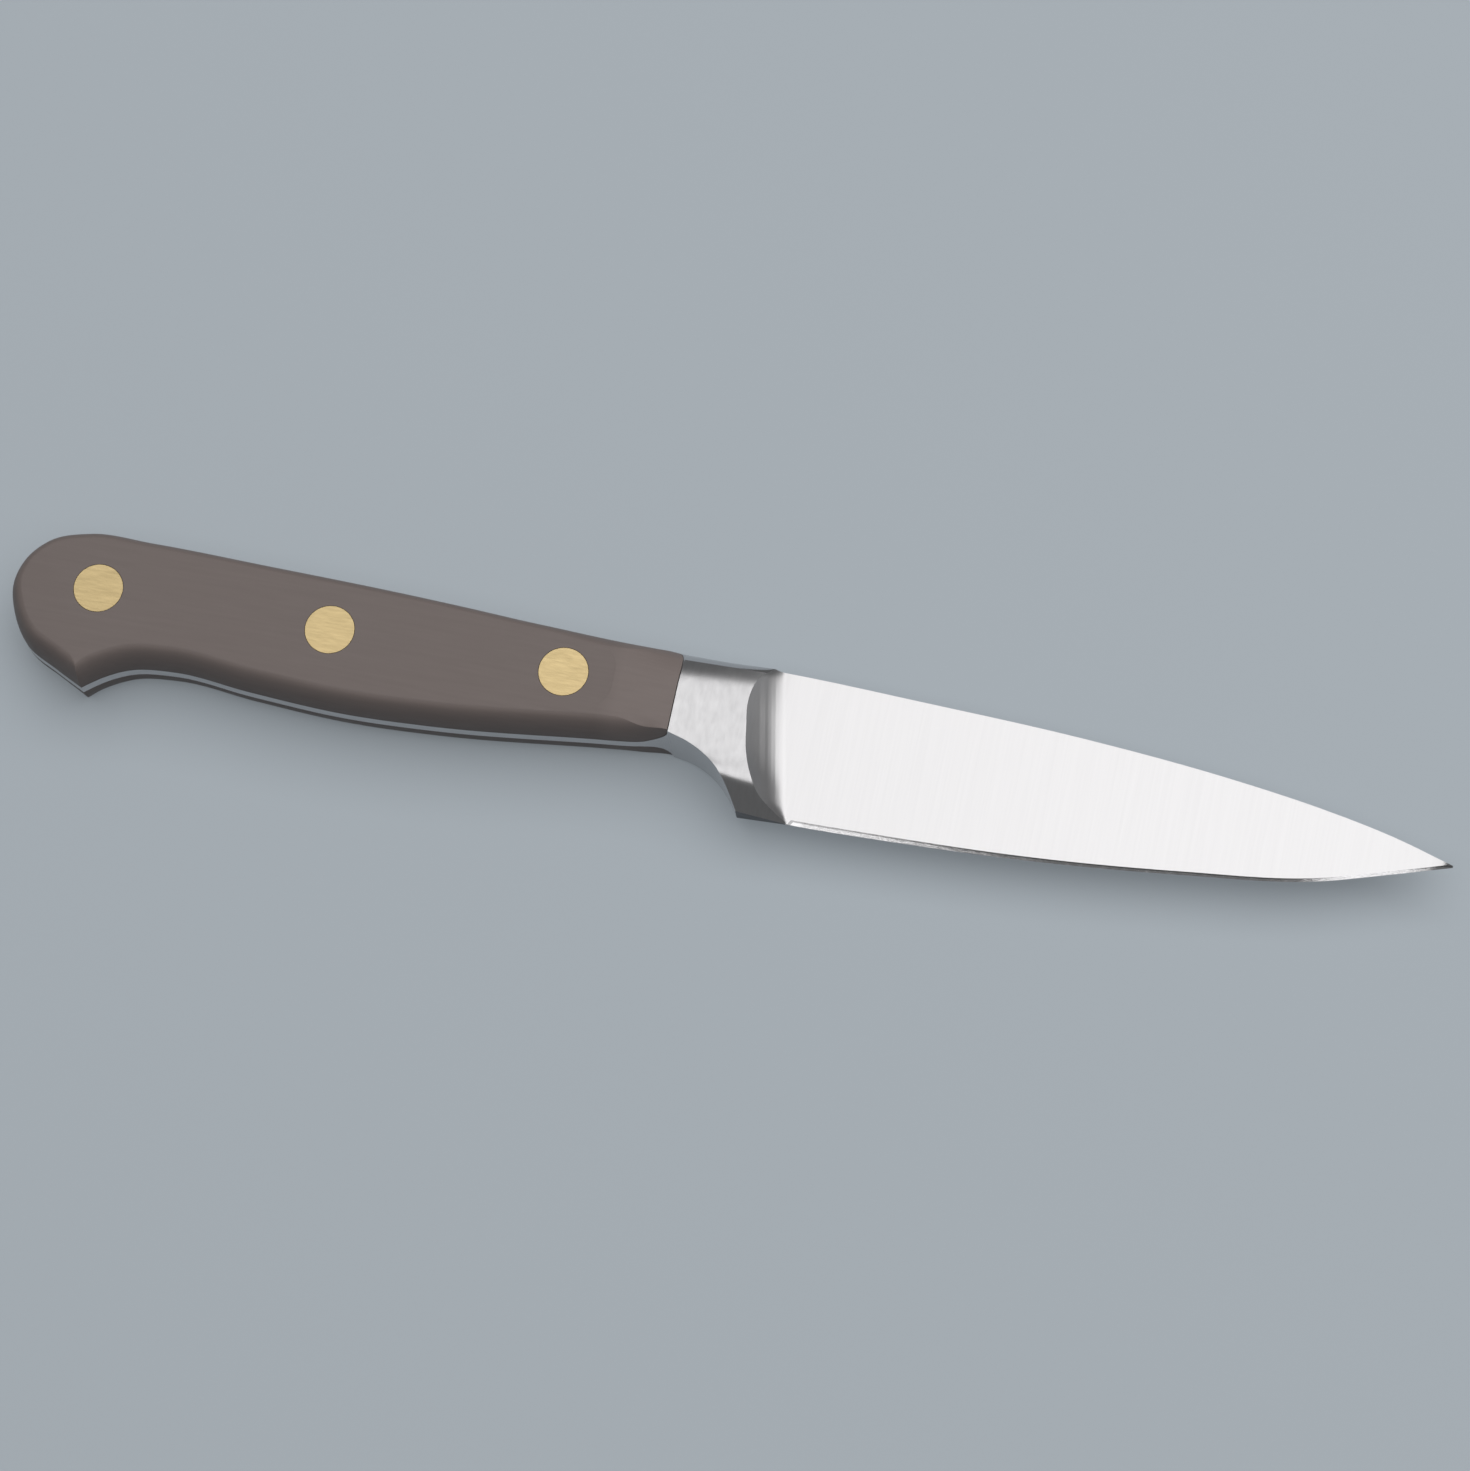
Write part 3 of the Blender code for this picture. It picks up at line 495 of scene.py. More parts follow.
    def tang_sections(self):
        """Sections over the joint's rows, from the butt to just behind the bolster."""
        start, beak = self.butt_x + BUTT_TRIM, -HANDLE_LENGTH + BEAK_SETBACK
        columns = [mix(start, beak, 1 - math.cos(0.5 * math.pi * s)) for s in shares(BUTT_COLUMNS)]
        columns += between(beak, 0.0, TANG_COLUMNS)
        joint = self.rear[:STRIP_ROWS + CROWN_ROWS + SIDE_ROWS + 1]
        sections = []
        for x in columns:
            top = float(np.interp(x, *self.tang_top))
            bottom = float(np.interp(x, *self.tang_bottom))
            thicker = handle_half_thickness(x) - handle_half_thickness(0.0)
            section = []
            for _, y, half in joint:
                share = (NECK_TOP_HEIGHT - y) / (NECK_TOP_HEIGHT + NECK_DEPTH)
                section.append((x, mix(top, bottom, share), half + thicker))
            sections.append(section)
        return sections

    def crown(self, x, y):
        """Fall of the bolster's side towards the strip's line, which runs up to the plunge line."""
        line_x, line_y = self.plunge[STRIP_ROWS]
        return crown_fall(y - STRIP_HEIGHT - (line_y - STRIP_HEIGHT) * x / line_x)

    def bolster_sections(self):
        """Sections from the rear boundary, with its broken edge, up to the plunge line."""
        sections = []
        for u in [0.0] + between(EDGE_BREAK_SHARE, 1.0, BOLSTER_COLUMNS):
            section = []
            for (rear_x, rear_y, rear), (plunge_x, plunge_y) in zip(self.rear, self.plunge):
                side = mix(rear + self.crown(rear_x, rear_y), FRONT_HALF_THICKNESS, u)
                x, y = mix(rear_x, plunge_x, u), mix(rear_y, plunge_y, u)
                half = rounded_lesser(side, cheek_half(x, y)) - self.crown(x, y)
                section.append((x, y, half if u else half - EDGE_BREAK))
            sections.append(section)
        return sections

    def blade_sections(self):
        """Sections from the plunge line to the tip, the last row being the edge."""
        rows = []
        last = len(self.plunge) - 1
        for i, (plunge_x, plunge_y) in enumerate(self.plunge):
            top, bottom = self.blade_top(plunge_x), min(plunge_y, self.blade_bottom(plunge_x))
            share = (top - plunge_y) / (top - bottom)
            even_share = min(1.0, i / (last - 1))
            flats = []
            for k in range(BLADE_COLUMNS + 1):
                reach = 1 - (1 - k / BLADE_COLUMNS) ** TIP_CROWDING
                level = mix(share, even_share, reach)
                flats.append(self.settle(level, plunge_x, reach, i == last))
            row = self.hollow((plunge_x, plunge_y), flats[0])
            row += [(x, y, self.blade_half(x, y)) for x, y in flats]
            if i == last:
                row = [(x, y, self.edge_half(x)) for x, y, _ in row]
            rows.append(row)
        return [list(section) for section in zip(*rows)]

    def settle(self, share, plunge_x, reach, is_edge):
        """The point of the blade's flat at a share of its height and of its length."""
        y = 0.0
        for _ in range(PLACE_ROUNDS):
            start = max(GRIND_END_REACH - GRIND_LEAN * y, plunge_x + LEAST_GRIND_WIDTH)
            x = mix(start, TIP_REACH, reach)
            top, bottom = self.blade_top(x), self.blade_bottom(x)
            if not is_edge:
                bottom += self.bevel_width(x)
            y = mix(top, bottom, share)
        return x, y


# Finishes of the forging, as places in its list of materials
TANG_FINISH, BOLSTER_FINISH, STRIP_FINISH, FOOT_FINISH, BLADE_FINISH, BEVEL_FINISH = range(6)


def loft_forging(surface):
    """Skin the sections and their mirror images into one closed mesh, each zone with its finish."""
    bm = bmesh.new()
    tang = [mirrored_section(bm, section) for section in surface.tang_sections()]
    bolster = [mirrored_section(bm, section) for section in surface.bolster_sections()]
    blade = [mirrored_section(bm, section) for section in surface.blade_sections()]
    joint_row = len(tang[0][0]) - 1
    foot_row = len(blade[0][0]) - 1
    tang_finishes = [TANG_FINISH] * joint_row
    bolster_finishes = [STRIP_FINISH] * STRIP_ROWS + [BOLSTER_FINISH] * (foot_row - STRIP_ROWS)
    blade_finishes = [BLADE_FINISH] * (foot_row - 1) + [BEVEL_FINISH]
    for low, high in zip(tang, tang[1:] + bolster[:1]):
        join_sections(bm, low, high, tang_finishes, (TANG_FINISH, TANG_FINISH))
    for low, high in zip(bolster, bolster[1:] + blade[:1]):
        join_sections(bm, low, high, bolster_finishes, (STRIP_FINISH, FOOT_FINISH))
    for low, high in zip(blade, blade[1:]):
        join_sections(bm, low, high, blade_finishes, (STRIP_FINISH, BEVEL_FINISH))
    close_across(bm, tang[0], 0, joint_row, TANG_FINISH)
    close_across(bm, bolster[0], joint_row, foot_row, STRIP_FINISH)
    close_across(bm, blade[-1], 0, foot_row, BEVEL_FINISH)
    bmesh.ops.recalc_face_normals(bm, faces=bm.faces)
    return bm


def close_across(bm, section, first, last, finish):
    """Faces from the right side to the left, over some rows of a section."""
    right, left = section
    for i in range(first, last):
        bm.faces.new((right[i], right[i + 1], left[i + 1], left[i])).material_index = finish


def mirrored_section(bm, section):
    """Vertices of one section, right side and left side."""
    return [[bm.verts.new((x, y, side * z)) for x, y, z in section] for side in (1, -1)]


def join_sections(bm, low, high, finishes, across):
    """Faces between two sections: both sides by rows, and across at the top and at the last row."""
    for a, b in zip(low, high):
        for i, finish in enumerate(finishes):
            bm.faces.new((a[i], a[i + 1], b[i + 1], b[i])).material_index = finish
    for i, finish in zip((0, len(finishes)), across):
        bm.faces.new((low[0][i], low[1][i], high[1][i], high[0][i])).material_index = finish


def skin(sections):
    """Close a stack of equal rings into a mesh, with a face at each end."""
    bm = bmesh.new()
    rings = [[bm.verts.new(p) for p in ring] for ring in sections]
    for low, high in zip(rings, rings[1:]):
        for i in range(len(low)):
            j = (i + 1) % len(low)
            bm.faces.new((low[i], low[j], high[j], high[i]))
    bm.faces.new(reversed(rings[0]))
    bm.faces.new(rings[-1])
    bmesh.ops.recalc_face_normals(bm, faces=bm.faces)
    return bm


def mesh_object(name, bm):
    """Turn a bmesh in the knife's axes into a named object in the frame."""
    mesh = bpy.data.meshes.new(name)
    bm.to_mesh(mesh)
    bm.free()
    mesh.transform(Matrix.Translation(ORIGIN))
    obj = bpy.data.objects.new(name, mesh)
    bpy.context.scene.collection.objects.link(obj)
    return obj


def fillet_arc(side, gap):
    """Corner between the tang's side and the bolster's rear face, or the same kept a gap away."""
    center_x, center_z = -BOLSTER_FILLET, TANG_HALF_THICKNESS + BOLSTER_FILLET
    radius = BOLSTER_FILLET - gap
    arc = []
    for k in range(ARC_STEPS + 1):
        angle = 0.5 * math.pi * k / ARC_STEPS
        height = center_z - radius * math.cos(angle)
        arc.append((center_x + radius * math.sin(angle), side * height))
    return arc


def side_prism(name, outline):
    """Cutter with an outline seen from the spine, x along and z up, running across the knife."""
    across = BEAK_DEPTH + BUTT_TOP_HEIGHT
    rings = [[Vector((x, y, z)) for x, z in outline] for y in (-across, across)]
    return mesh_object(name, skin(rings))


def pocket_prism(name, side):
    """Room for one scale, cut from the forging: behind the bolster and outside the tang."""
    behind = -HANDLE_LENGTH - CUTTER_MARGIN
    outside = side * (HANDLE_HALF_THICKNESS + CUTTER_MARGIN)
    outline = fillet_arc(side, 0.0)
    outline += [(0.0, outside), (behind, outside), (behind, side * TANG_HALF_THICKNESS)]
    return side_prism(name, outline)


def core_prism(name, side):
    """Room for the tang and bolster, with the seat gap, cut from one scale."""
    behind = -HANDLE_LENGTH - CUTTER_MARGIN
    outside = side * (HANDLE_HALF_THICKNESS + CUTTER_MARGIN)
    outline = fillet_arc(side, SEAT_GAP)
    outline += [(-SEAT_GAP, outside), (CUTTER_MARGIN, outside),
                (CUTTER_MARGIN, -side * CUTTER_MARGIN), (behind, -side * CUTTER_MARGIN),
                (behind, side * (TANG_HALF_THICKNESS + SEAT_GAP))]
    return side_prism(name, outline)


def neck_former(name, side):
    """Block that forms a scale's neck: its inner side is the finished surface there."""
    outside = side * (HANDLE_HALF_THICKNESS + CUTTER_MARGIN)
    ends, reach = -CROWN_RUNOUT - CUTTER_MARGIN, NECK_TOP_HEIGHT + CUTTER_MARGIN
    bm = bmesh.new()
    grid = []
    for x in between(ends, CUTTER_MARGIN, NECK_STEPS) + [CUTTER_MARGIN]:
        heights = between(-reach, reach, NECK_STEPS)
        column = [(y, side * neck_half_thickness(min(x, 0.0), y)) for y in heights]
        column += [(reach, outside), (-reach, outside)]
        grid.append([bm.verts.new((x, y, z)) for y, z in column])
    for low, high in zip(grid, grid[1:]):
        for i in range(len(low)):
            j = (i + 1) % len(low)
            bm.faces.new((low[i], low[j], high[j], high[i]))
    bm.faces.new(grid[0])
    bm.faces.new(reversed(grid[-1]))
    bmesh.ops.recalc_face_normals(bm, faces=bm.faces)
    return mesh_object(name, bm)


def rounding_at(x, y):
    """How far the handle's side draws in at a point of its outline."""
    under = mix(NECK_ROUNDING, SIDE_ROUNDING, smooth_step(-x / ROUNDING_RUNOUT))
    over = mix(NECK_TOP_ROUNDING, TOP_ROUNDING, smooth_step(-x / TOP_RUNOUT))
    return mix(under, over, smooth_step(0.5 + y / UPPER_BLEND))


def handle_outline():
    """Handle outline with, for each point, the inward direction of its rounding."""
    upper = smooth_curve(handle_upper_points(), OUTLINE_STEPS)
    lower = smooth_curve(handle_lower_points(), OUTLINE_STEPS)
    points = [Vector(p) for p in upper + lower[1:]]
    last = len(points) - 1
    normals = []
    for i in range(len(points)):
        heading = (points[min(last, i + 1)] - points[max(0, i - 1)]).normalized()
        normals.append(Vector((-heading.y, heading.x)))
    corner = points[len(upper) - 1]
    inward = []
    for p, normal in zip(points, normals):
        if (p - corner).length < 2 * CORNER_SMOOTHING:
            weights = [max(0.0, 1 - (q - p).length / CORNER_SMOOTHING) for q in points]
            normal = sum((n * w for n, w in zip(normals, weights)), Vector((0, 0))) / sum(weights)
        inward.append(normal)
    inward[0] = Vector((0, -1))
    inward[last] = Vector((0, 1))
    return points, inward


def scale_body(name, side):
    """One handle scale before it is fitted: rings drawn in towards the flat."""
    points, inward = handle_outline()
    rings = [[Vector((p.x, p.y, 0.0)) for p in points]]
    for k in range(SIDE_LEVELS + 1):
        angle = 0.5 * math.pi * k / SIDE_LEVELS
        ring = []
        for p, n in zip(points, inward):
            drawn, height = rounded_side(angle, rounding_at(p.x, p.y), HANDLE_HALF_THICKNESS)
            ring.append(Vector((p.x + n.x * drawn, p.y + n.y * drawn, side * height)))
        rings.append(ring)
    return mesh_object(name, skin(rings))


def rivet_positions():
    """Rear, middle and front rivets, evenly spaced on the line y = 0."""
    rear = -HANDLE_LENGTH + REAR_RIVET_SETBACK
    front = -FRONT_RIVET_SETBACK
    return {"rear": rear, "middle": 0.5 * (rear + front), "front": front}


def turned(name, x, profile):
    """Closed solid turned about an upright axis at x, from a profile with both ends on it."""
    bm = bmesh.new()
    bottom = bm.verts.new((x, 0.0, profile[0][1]))
    top = bm.verts.new((x, 0.0, profile[-1][1]))
    rings = []
    for radius, z in profile[1:-1]:
        rings.append([bm.verts.new((x + radius * math.cos(a), radius * math.sin(a), z))
                      for a in between(0.0, 2 * math.pi, ROUND_SEGMENTS)])
    for i in range(ROUND_SEGMENTS):
        j = (i + 1) % ROUND_SEGMENTS
        bm.faces.new((bottom, rings[0][j], rings[0][i]))
        bm.faces.new((top, rings[-1][i], rings[-1][j]))
        for low, high in zip(rings, rings[1:]):
            bm.faces.new((low[i], low[j], high[j], high[i]))
    bmesh.ops.recalc_face_normals(bm, faces=bm.faces)
    return mesh_object(name, bm)


def rivet_head(name, x, side):
    """Flush head of one rivet half, with a broken edge."""
    outside = side * HANDLE_HALF_THICKNESS
    inside = side * (HANDLE_HALF_THICKNESS - RIVET_HEAD_DEPTH)
    rim = side * (HANDLE_HALF_THICKNESS - RIVET_CHAMFER)
    return turned(name, x, [(0.0, inside), (RIVET_HEAD_RADIUS, inside), (RIVET_HEAD_RADIUS, rim),
                            (RIVET_HEAD_RADIUS - RIVET_CHAMFER, outside), (0.0, outside)])


def rivet_drill(name, x):
    """Drill for one rivet's seats through both scales and the tang."""
    outside, seat = HANDLE_HALF_THICKNESS + CUTTER_MARGIN, RIVET_HEAD_RADIUS + RIVET_GAP
    return turned(name, x, [(0.0, -outside), (seat, -outside), (seat, outside), (0.0, outside)])


def carve(obj, cutters):
    """Cut shapes out of an object for good, with exact Booleans."""
    for cutter in cutters:
        modifier = obj.modifiers.new("cut_" + cutter.name, "BOOLEAN")
        modifier.operation = "DIFFERENCE"
        modifier.solver = "EXACT"
        modifier.object = cutter
    graph = bpy.context.evaluated_depsgraph_get()
    mesh = bpy.data.meshes.new_from_object(obj.evaluated_get(graph))
    obj.modifiers.clear()
    obj.data = mesh
    return obj


def dress(obj, *materials):
    """Give an object its materials."""
    for material in materials:
        obj.data.materials.append(material)
    return obj


def smooth(obj):
    """Smooth shading between the sharp edges and between the borders of the finishes."""
    obj.data.shade_smooth()
    obj.data.set_sharp_from_angle(angle=SMOOTH_ANGLE)
    bm = bmesh.new()
    bm.from_mesh(obj.data)
    for edge in bm.edges:
        if len({face.material_index for face in edge.link_faces}) > 1:
            edge.smooth = False
    bm.to_mesh(obj.data)
    bm.free()
    return obj


# Range that a noise mostly keeps to
NOISE_LOW = 0.25
NOISE_HIGH = 0.75


class Finish:
    """A Principled material whose detail is built from nodes, in millimetres of the knife."""

    def __init__(self, name, color, metallic, roughness, anisotropy=0.0):
        self.material = bpy.data.materials.new(name)
        self.material.use_nodes = True
        self.nodes = self.material.node_tree.nodes
        self.links = self.material.node_tree.links
        self.shader = self.nodes["Principled BSDF"]
        self.color = (*color, 1.0)
        self.roughness = roughness
        self.shader.inputs["Base Color"].default_value = self.color
        self.shader.inputs["Metallic"].default_value = metallic
        self.shader.inputs["Roughness"].default_value = roughness
        self.shader.inputs["Anisotropic"].default_value = anisotropy
        self.place = self.add("ShaderNodeTexCoord").outputs["Object"]

    def add(self, kind, **settings):
        """A new node with its settings."""
        node = self.nodes.new(kind)
        for key, value in settings.items():
            setattr(node, key, value)
        return node

    def feed(self, socket, value):
        """Link an output to a socket, or set the socket to a value."""
        if isinstance(value, bpy.types.NodeSocket):
            self.links.new(value, socket)
        else:
            socket.default_value = value

    def math(self, operation, a, b=0.0):
        """Math node on two values."""
        node = self.add("ShaderNodeMath", operation=operation)
        self.feed(node.inputs[0], a)
        self.feed(node.inputs[1], b)
        return node.outputs[0]

    def coordinate(self, axis):
        """The place along one axis of the frame."""
        node = self.add("ShaderNodeSeparateXYZ")
        self.feed(node.inputs[0], self.place)
        return node.outputs[axis]

    def rescale(self, value, low, high, new_low, new_high, style="LINEAR"):
        """Map a value from one range to another, held at its ends."""
        node = self.add("ShaderNodeMapRange", interpolation_type=style)
        for socket, entry in zip(node.inputs, (value, low, high, new_low, new_high)):
            self.feed(socket, entry)
        return node.outputs[0]

    def grain(self, size, detail):
        """Noise from 0 to 1 whose grains have a size in millimetres along x, y and z."""
        mapping = self.add("ShaderNodeMapping")
        self.feed(mapping.inputs["Vector"], self.place)
        mapping.inputs["Scale"].default_value = [1.0 / (s * MM) for s in size]
        noise = self.add("ShaderNodeTexNoise", noise_dimensions="3D")
        self.feed(noise.inputs["Vector"], mapping.outputs["Vector"])
        noise.inputs["Scale"].default_value = 1.0
        noise.inputs["Detail"].default_value = detail
        return noise.outputs[0]

    def tint(self, amount, value):
        """Lighten and darken the colour by a share, as a value goes from 0 to 1."""
        self.shade(self.rescale(value, NOISE_LOW, NOISE_HIGH, 1.0 - amount, 1.0 + amount))

    def shade(self, factor):
        """Multiply the colour by a factor."""
        node = self.add("ShaderNodeVectorMath", operation="SCALE")
        source = self.shader.inputs["Base Color"]
        if source.is_linked:
            self.feed(node.inputs[0], source.links[0].from_socket)
        else:
            self.feed(node.inputs[0], self.color[:3])
        self.feed(node.inputs["Scale"], factor)
        self.feed(source, node.outputs[0])

    def vary_roughness(self, amount, value):
        """Raise and lower the roughness as a value goes from 0 to 1."""
        least, most = self.roughness - amount, self.roughness + amount
        spread = self.rescale(value, NOISE_LOW, NOISE_HIGH, least, most)
        self.feed(self.shader.inputs["Roughness"], spread)

    def roughen(self, amount, start_x, end_x):
        """Raise the roughness, from one place along the knife back to another."""
        start, end = start_x + ORIGIN.x, end_x + ORIGIN.x
        place = self.coordinate("X")
        rough = self.rescale(place, end, start, self.roughness + amount, self.roughness)
        self.feed(self.shader.inputs["Roughness"], rough)

    def relief(self, height, depth):
        """Raise the surface by a height from 0 to 1, over a depth in millimetres."""
        bump = self.add("ShaderNodeBump")
        bump.inputs["Distance"].default_value = depth * MM
        self.feed(bump.inputs["Height"], height)
        source = self.shader.inputs["Normal"]
        if source.is_linked:
            self.feed(bump.inputs["Normal"], source.links[0].from_socket)
        self.feed(source, bump.outputs["Normal"])

    def brushed_along(self, direction):
        """Spread the gloss across the brush marks, which run in a direction of the knife."""
        across = self.add("ShaderNodeCombineXYZ")
        for socket, share in zip(across.inputs, (direction[1], -direction[0], direction[2])):
            socket.default_value = share
        self.feed(self.shader.inputs["Tangent"], across.outputs[0])


# Colours of the pieces, and by how much the bevel's painted highlight makes it lighter and the
# painted shade line at its shoulder darker
STEEL_COLOR = (0.59, 0.583, 0.59)
BLADE_COLOR = (0.685, 0.675, 0.68)
# painted shade: the foot's underside is coloured dark for the dark surroundings that it mirrors
FOOT_PAINTED_SHADE_COLOR = (0.1, 0.1, 0.105)
BRASS_COLOR = (0.65, 0.505, 0.267)
TAUPE_COLOR = (0.18, 0.149, 0.139)
BEVEL_PAINTED_HIGHLIGHT = 1.16
BEVEL_PAINTED_SHADE_LINE = 0.6


def blade_steel():
    """Blade: finely ground from spine to edge, and coarser in the hollow before the bolster."""
    finish = Finish("blade_steel", BLADE_COLOR, 1.0, 0.3, 0.7)
    finish.brushed_along((0.0, 1.0, 0.0))
    finish.relief(finish.grain((0.06, 9.0, 9.0), 3.0), 0.0012)
    finish.tint(0.02, finish.grain((0.3, 14.0, 14.0), 3.0))
    finish.roughen(0.15, GRIND_END_REACH, PLUNGE_REACH)
    return finish.material


def bolster_steel():
    """Bolster sides: satin, with short brush marks across the knife."""
    finish = Finish("bolster_steel", STEEL_COLOR, 1.0, 0.33, 0.6)
    finish.brushed_along((0.0, 1.0, 0.0))
    finish.relief(finish.grain((0.1, 1.6, 1.6), 3.0), 0.003)
    finish.tint(0.04, finish.grain((0.4, 2.0, 2.0), 2.0))
    finish.vary_roughness(0.04, finish.grain((0.8, 1.5, 1.5), 2.0))
    return finish.material


def strip_steel():
    """Polished strip along the bolster's spine, the blade's spine and the guard's rear face."""
    finish = Finish("polished_steel", STEEL_COLOR, 1.0, 0.16)
    finish.relief(finish.grain((2.5, 0.08, 0.08), 2.0), 0.0006)
    finish.vary_roughness(0.03, finish.grain((3.0, 0.5, 0.5), 2.0))
    return finish.material


def foot_steel():
    """Narrow underside of the guard's foot, rough, with painted shade: coloured dark for the dark
    surroundings that it mirrors.
    """
    finish = Finish("foot_steel", FOOT_PAINTED_SHADE_COLOR, 1.0, 0.4)
    finish.relief(finish.grain((0.3, 0.3, 0.3), 3.0), 0.01)
    finish.tint(0.2, finish.grain((0.8, 0.4, 0.4), 2.0))
    return finish.material


def tang_steel():
    """Tang's narrow edges, ground along the handle."""
    finish = Finish("tang_steel", STEEL_COLOR, 1.0, 0.3)
    finish.relief(finish.grain((4.0, 0.08, 0.08), 2.0), 0.001)
    finish.tint(0.05, finish.grain((5.0, 0.3, 0.3), 2.0))
    return finish.material


def bevel_steel():
    """Whetted bevel along the edge, with coarse short marks, a painted highlight over its face and
    a painted shade line at its shoulder.
    """
    finish = Finish("bevel_steel", STEEL_COLOR, 1.0, 0.2)
    # painted light: lighter over most of the bevel and darker in a thin line near its shoulder, by
    # half thickness
    height = finish.math("ABSOLUTE", finish.math("SUBTRACT", finish.coordinate("Z"), ORIGIN.z))
    finish.shade(finish.rescale(height, BEVEL_SHADE_LINE_START, BEVEL_SHADE_LINE_END,
                                BEVEL_PAINTED_HIGHLIGHT, BEVEL_PAINTED_SHADE_LINE))
    finish.relief(finish.grain((1.2, 0.14, 0.14), 3.0), 0.008)
    finish.relief(finish.grain((0.4, 0.8, 0.8), 3.0), 0.02)
    finish.vary_roughness(0.05, finish.grain((0.6, 0.6, 0.6), 2.0))
    return finish.material


def past_facet(finish):
    """From 0 on the scale's ground flat to 1 on the smoother neck beyond its rounded end, used for
    the neck's step and its painted light.
    """
    end = ORIGIN.x - NECK_RELIEF_LENGTH - FACET_CORNER
    middle = ORIGIN.y + 0.5 * (FACET_TOP + FACET_BOTTOM)
    half_height = 0.5 * (FACET_TOP - FACET_BOTTOM) - FACET_CORNER
    past = finish.math("MAXIMUM", finish.math("SUBTRACT", finish.coordinate("X"), end), 0.0)
    aside = finish.math("ABSOLUTE", finish.math("SUBTRACT", finish.coordinate("Y"), middle))
    beside = finish.math("MAXIMUM", finish.math("SUBTRACT", aside, half_height), 0.0)
    corner = finish.math("SQRT", finish.math("ADD", finish.math("MULTIPLY", past, past),
                                             finish.math("MULTIPLY", beside, beside)))
    line_end = FACET_CORNER + FACET_LINE
    outside = finish.rescale(corner, FACET_CORNER, line_end, 0.0, 1.0, "SMOOTHSTEP")
    near = finish.rescale(past, 0.0, 2 * FACET_CORNER, 0.0, 1.0, "SMOOTHSTEP")
    return finish.math("MULTIPLY", outside, near)


def scale_plastic():
    """Handle scales: smooth matt taupe, ground flat with a faint grain along the handle, and
    painted light that makes the neck beyond the flat lighter.
    """
    finish = Finish("taupe_plastic", TAUPE_COLOR, 0.0, 0.5)
    finish.shader.inputs["Specular IOR Level"].default_value = 0.3
    neck = past_facet(finish)
    finish.relief(neck, 0.03)
    # painted light: the neck is coloured lighter than the ground flat, for the light that falls on
    # its tilted surface
    finish.tint(0.06, neck)
    finish.relief(finish.grain((3.0, 0.12, 0.12), 3.0), 0.0015)
    finish.relief(finish.grain((0.12, 0.12, 0.12), 2.0), 0.0015)
    finish.tint(0.035, finish.grain((9.0, 0.5, 0.5), 3.0))
    finish.vary_roughness(0.04, finish.grain((4.0, 1.0, 1.0), 3.0))
    return finish.material


def rivet_brass():
    """Rivet heads: brass ground flush, with fine scratches along the knife."""
    finish = Finish("satin_brass", BRASS_COLOR, 1.0, 0.42, 0.3)
    finish.brushed_along((1.0, 0.0, 0.0))
    finish.relief(finish.grain((1.6, 0.09, 1.0), 3.0), 0.004)
    finish.tint(0.07, finish.grain((2.0, 0.2, 1.0), 3.0))
    finish.vary_roughness(0.05, finish.grain((2.0, 0.3, 1.0), 2.0))
    return finish.material


def floor_surface():
    """Plain pale floor, whose shadows a faint glow softens where it is seen or mirrored."""
    finish = Finish("floor", FLOOR_COLOR, 0.0, 0.7)
    glow = finish.add("ShaderNodeEmission")
    glow.inputs["Color"].default_value = (*FLOOR_COLOR, 1.0)
    path = finish.add("ShaderNodeLightPath")
    seen = finish.math("MAXIMUM", path.outputs["Is Camera Ray"], path.outputs["Is Glossy Ray"])
    finish.shade(finish.rescale(seen, 0.0, 1.0, FLOOR_BOUNCE, 1.0))
    blend = finish.add("ShaderNodeMixShader")
    finish.feed(blend.inputs[0], finish.math("MULTIPLY", seen, FLOOR_GLOW))
    finish.feed(blend.inputs[1], finish.shader.outputs[0])
    finish.feed(blend.inputs[2], glow.outputs[0])
    finish.feed(finish.nodes["Material Output"].inputs["Surface"], blend.outputs[0])
    return finish.material


def build_knife():
    """All pieces of the knife."""
    plastic, brass = scale_plastic(), rivet_brass()
    drills = [rivet_drill(name + "_drill", x) for name, x in rivet_positions().items()]
    pockets = [pocket_prism(label + "_pocket", side) for side, label in SIDES]
    tools = drills + pockets

    forging = mesh_object("ground_forging", loft_forging(Forging()))
    dress(forging, tang_steel(), bolster_steel(), strip_steel(), foot_steel(), blade_steel(),
          bevel_steel())
    finish_piece(smooth(carve(forging, tools)), "blade_forging")
    for side, label in SIDES:
        fit = [core_prism(label + "_core", side), neck_former(label + "_neck_former", side)]
        scale = dress(scale_body(label + "_scale", side), plastic)
        finish_piece(smooth(carve(scale, fit + drills)), label + "_handle_scale")
        tools += fit
    for name, x in rivet_positions().items():
        for side, half in ((1, "post"), (-1, "socket")):
            head = dress(rivet_head(name + "_" + half + "_head", x, side), brass)
            finish_piece(smooth(head), name + "_rivet_" + half)
    for tool in tools:
        bpy.data.objects.remove(tool, do_unlink=True)


def finish_piece(obj, node):
    """Let a piece stand for its solid and ride with the knife."""
    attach(obj, "root")
    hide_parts(node)


# Camera, turned and placed to the photograph's view of the knife
CAMERA_PLACE = Vector((0.104813, -0.231527, 0.770435))
CAMERA_TURN = (math.radians(17.9145), math.radians(3.9636), math.radians(11.9396))
CAMERA_LENS = 146.84         # millimetres, as is the sensor's width
CAMERA_SENSOR_WIDTH = 36.0
CAMERA_CLIP_START = 0.01

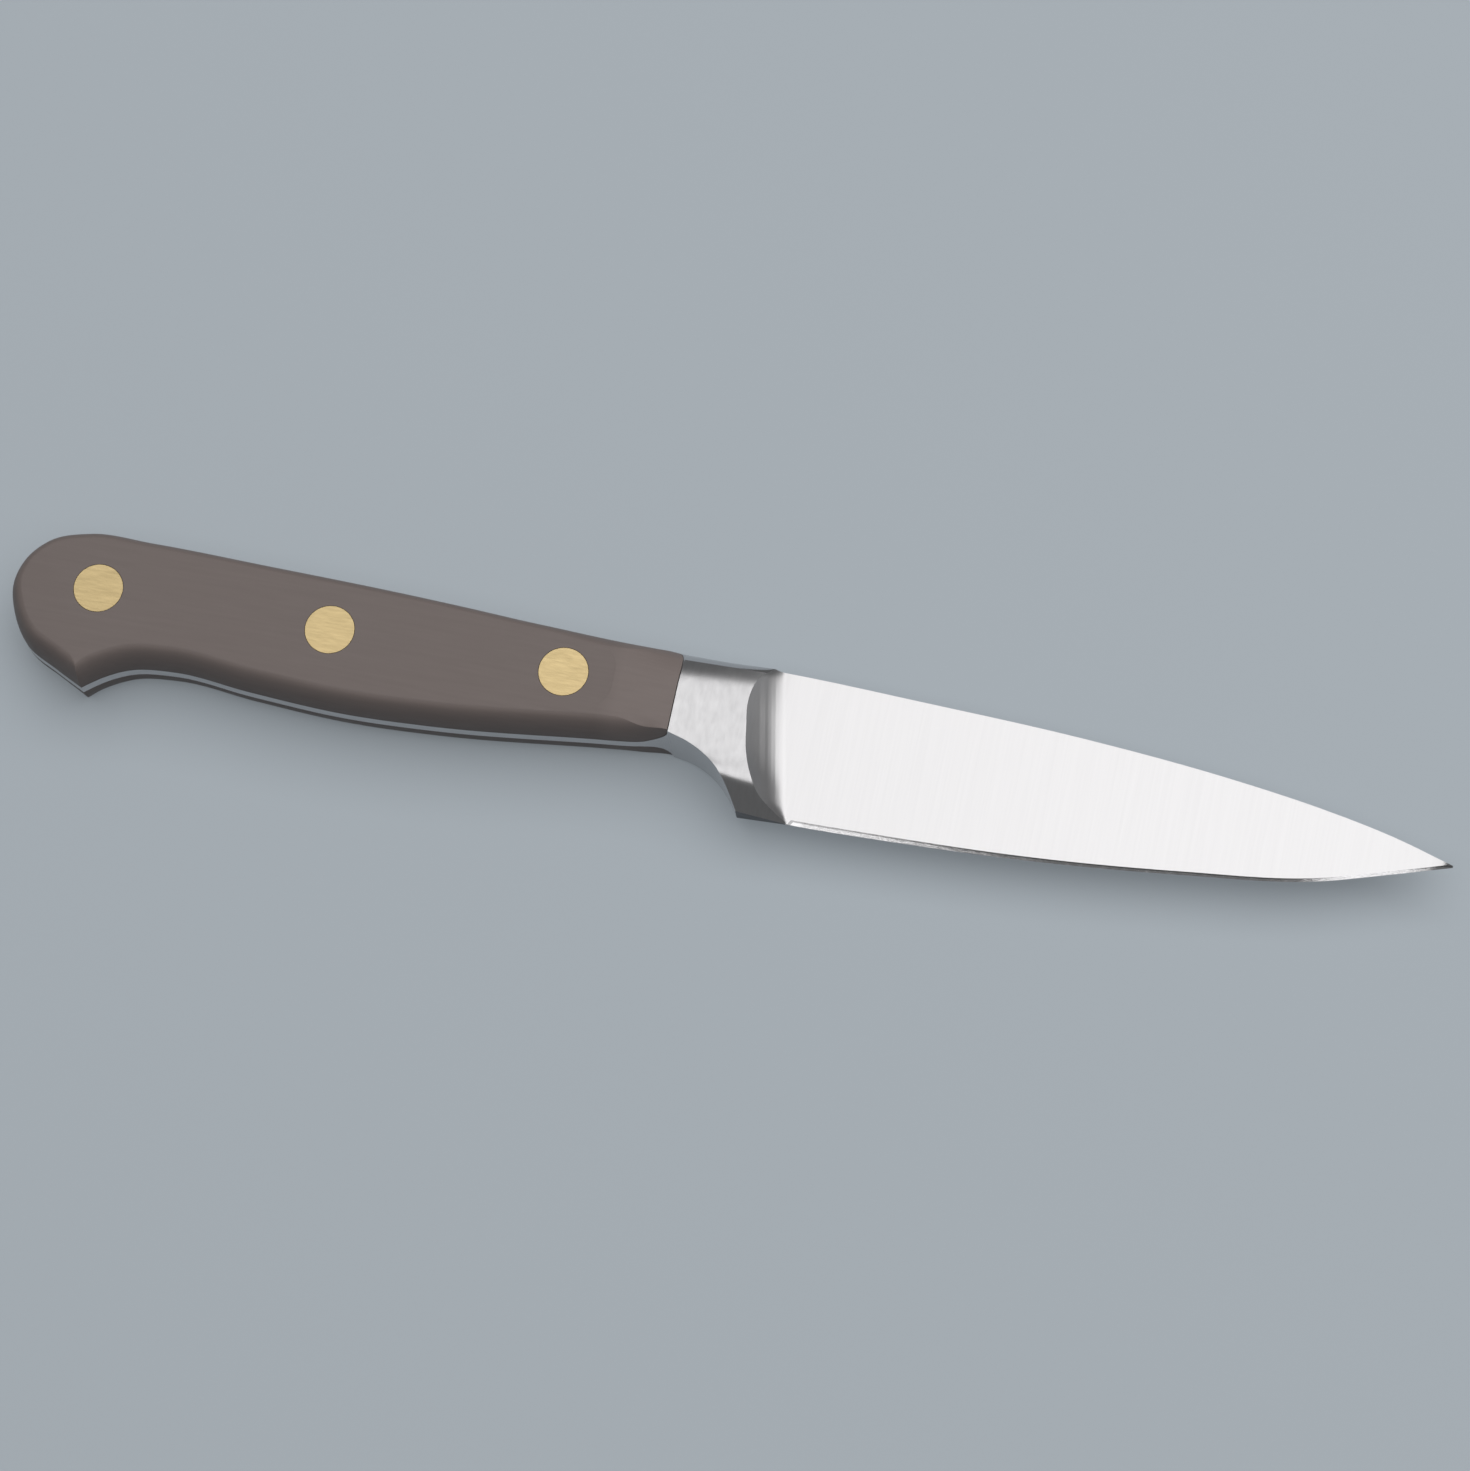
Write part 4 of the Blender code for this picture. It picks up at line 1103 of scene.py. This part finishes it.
# Floor and light
FLOOR_COLOR = (0.41, 0.454, 0.492)
FLOOR_GLOW = 0.29            # share of the floor that glows in its own colour
FLOOR_BOUNCE = 0.25          # share of its colour that lights the knife from below
FLOOR_HALF_WIDTH = 3.0
LAMP_HEIGHT = 1.5
SOFTBOX_CENTER = (0.15, 0.6)
SOFTBOX_SIZE = (1.6, 1.86)
SOFTBOX_RADIANCE = 1.36      # where 1 is white
FILL_CENTER = (0.3, 0.4)
FILL_SIZE = (2.4, 2.4)
FILL_RADIANCE = 1.2
ROOM_RADIANCE = 0.145
ROOM_COLOR = (0.97, 0.99, 1.0)


def place_camera():
    """Camera at the photograph's viewing angle."""
    camera = bpy.data.cameras.new("camera")
    camera.lens = CAMERA_LENS
    camera.sensor_width = CAMERA_SENSOR_WIDTH
    camera.clip_start = CAMERA_CLIP_START
    obj = bpy.data.objects.new("camera", camera)
    obj.location = CAMERA_PLACE
    obj.rotation_euler = CAMERA_TURN
    bpy.context.scene.collection.objects.link(obj)
    bpy.context.scene.camera = obj


def softbox(name, center, size, radiance):
    """Rectangular lamp that faces straight down."""
    lamp = bpy.data.lights.new(name, "AREA")
    lamp.shape = "RECTANGLE"
    lamp.size, lamp.size_y = size
    lamp.energy = radiance * math.pi * size[0] * size[1]
    obj = bpy.data.objects.new(name, lamp)
    obj.location = (*center, LAMP_HEIGHT)
    bpy.context.scene.collection.objects.link(obj)
    return obj


def build_stage():
    """Floor, room and lamps."""
    bm = bmesh.new()
    half = FLOOR_HALF_WIDTH
    corners = ((-half, -half, 0.0), (half, -half, 0.0), (half, half, 0.0), (-half, half, 0.0))
    bm.faces.new([bm.verts.new(p) for p in corners])
    mesh = bpy.data.meshes.new("floor")
    bm.to_mesh(mesh)
    bm.free()
    mesh.materials.append(floor_surface())
    floor = bpy.data.objects.new("floor", mesh)
    bpy.context.scene.collection.objects.link(floor)

    world = bpy.data.worlds.new("studio")
    world.use_nodes = True
    background = world.node_tree.nodes["Background"]
    background.inputs["Color"].default_value = (*ROOM_COLOR, 1.0)
    background.inputs["Strength"].default_value = ROOM_RADIANCE
    bpy.context.scene.world = world
    softbox("overhead_softbox", SOFTBOX_CENTER, SOFTBOX_SIZE, SOFTBOX_RADIANCE)
    fill = softbox("fill_light", FILL_CENTER, FILL_SIZE, FILL_RADIANCE)
    fill.visible_glossy = False
    bpy.context.scene.view_settings.view_transform = "Standard"


build_knife()
build_stage()
place_camera()
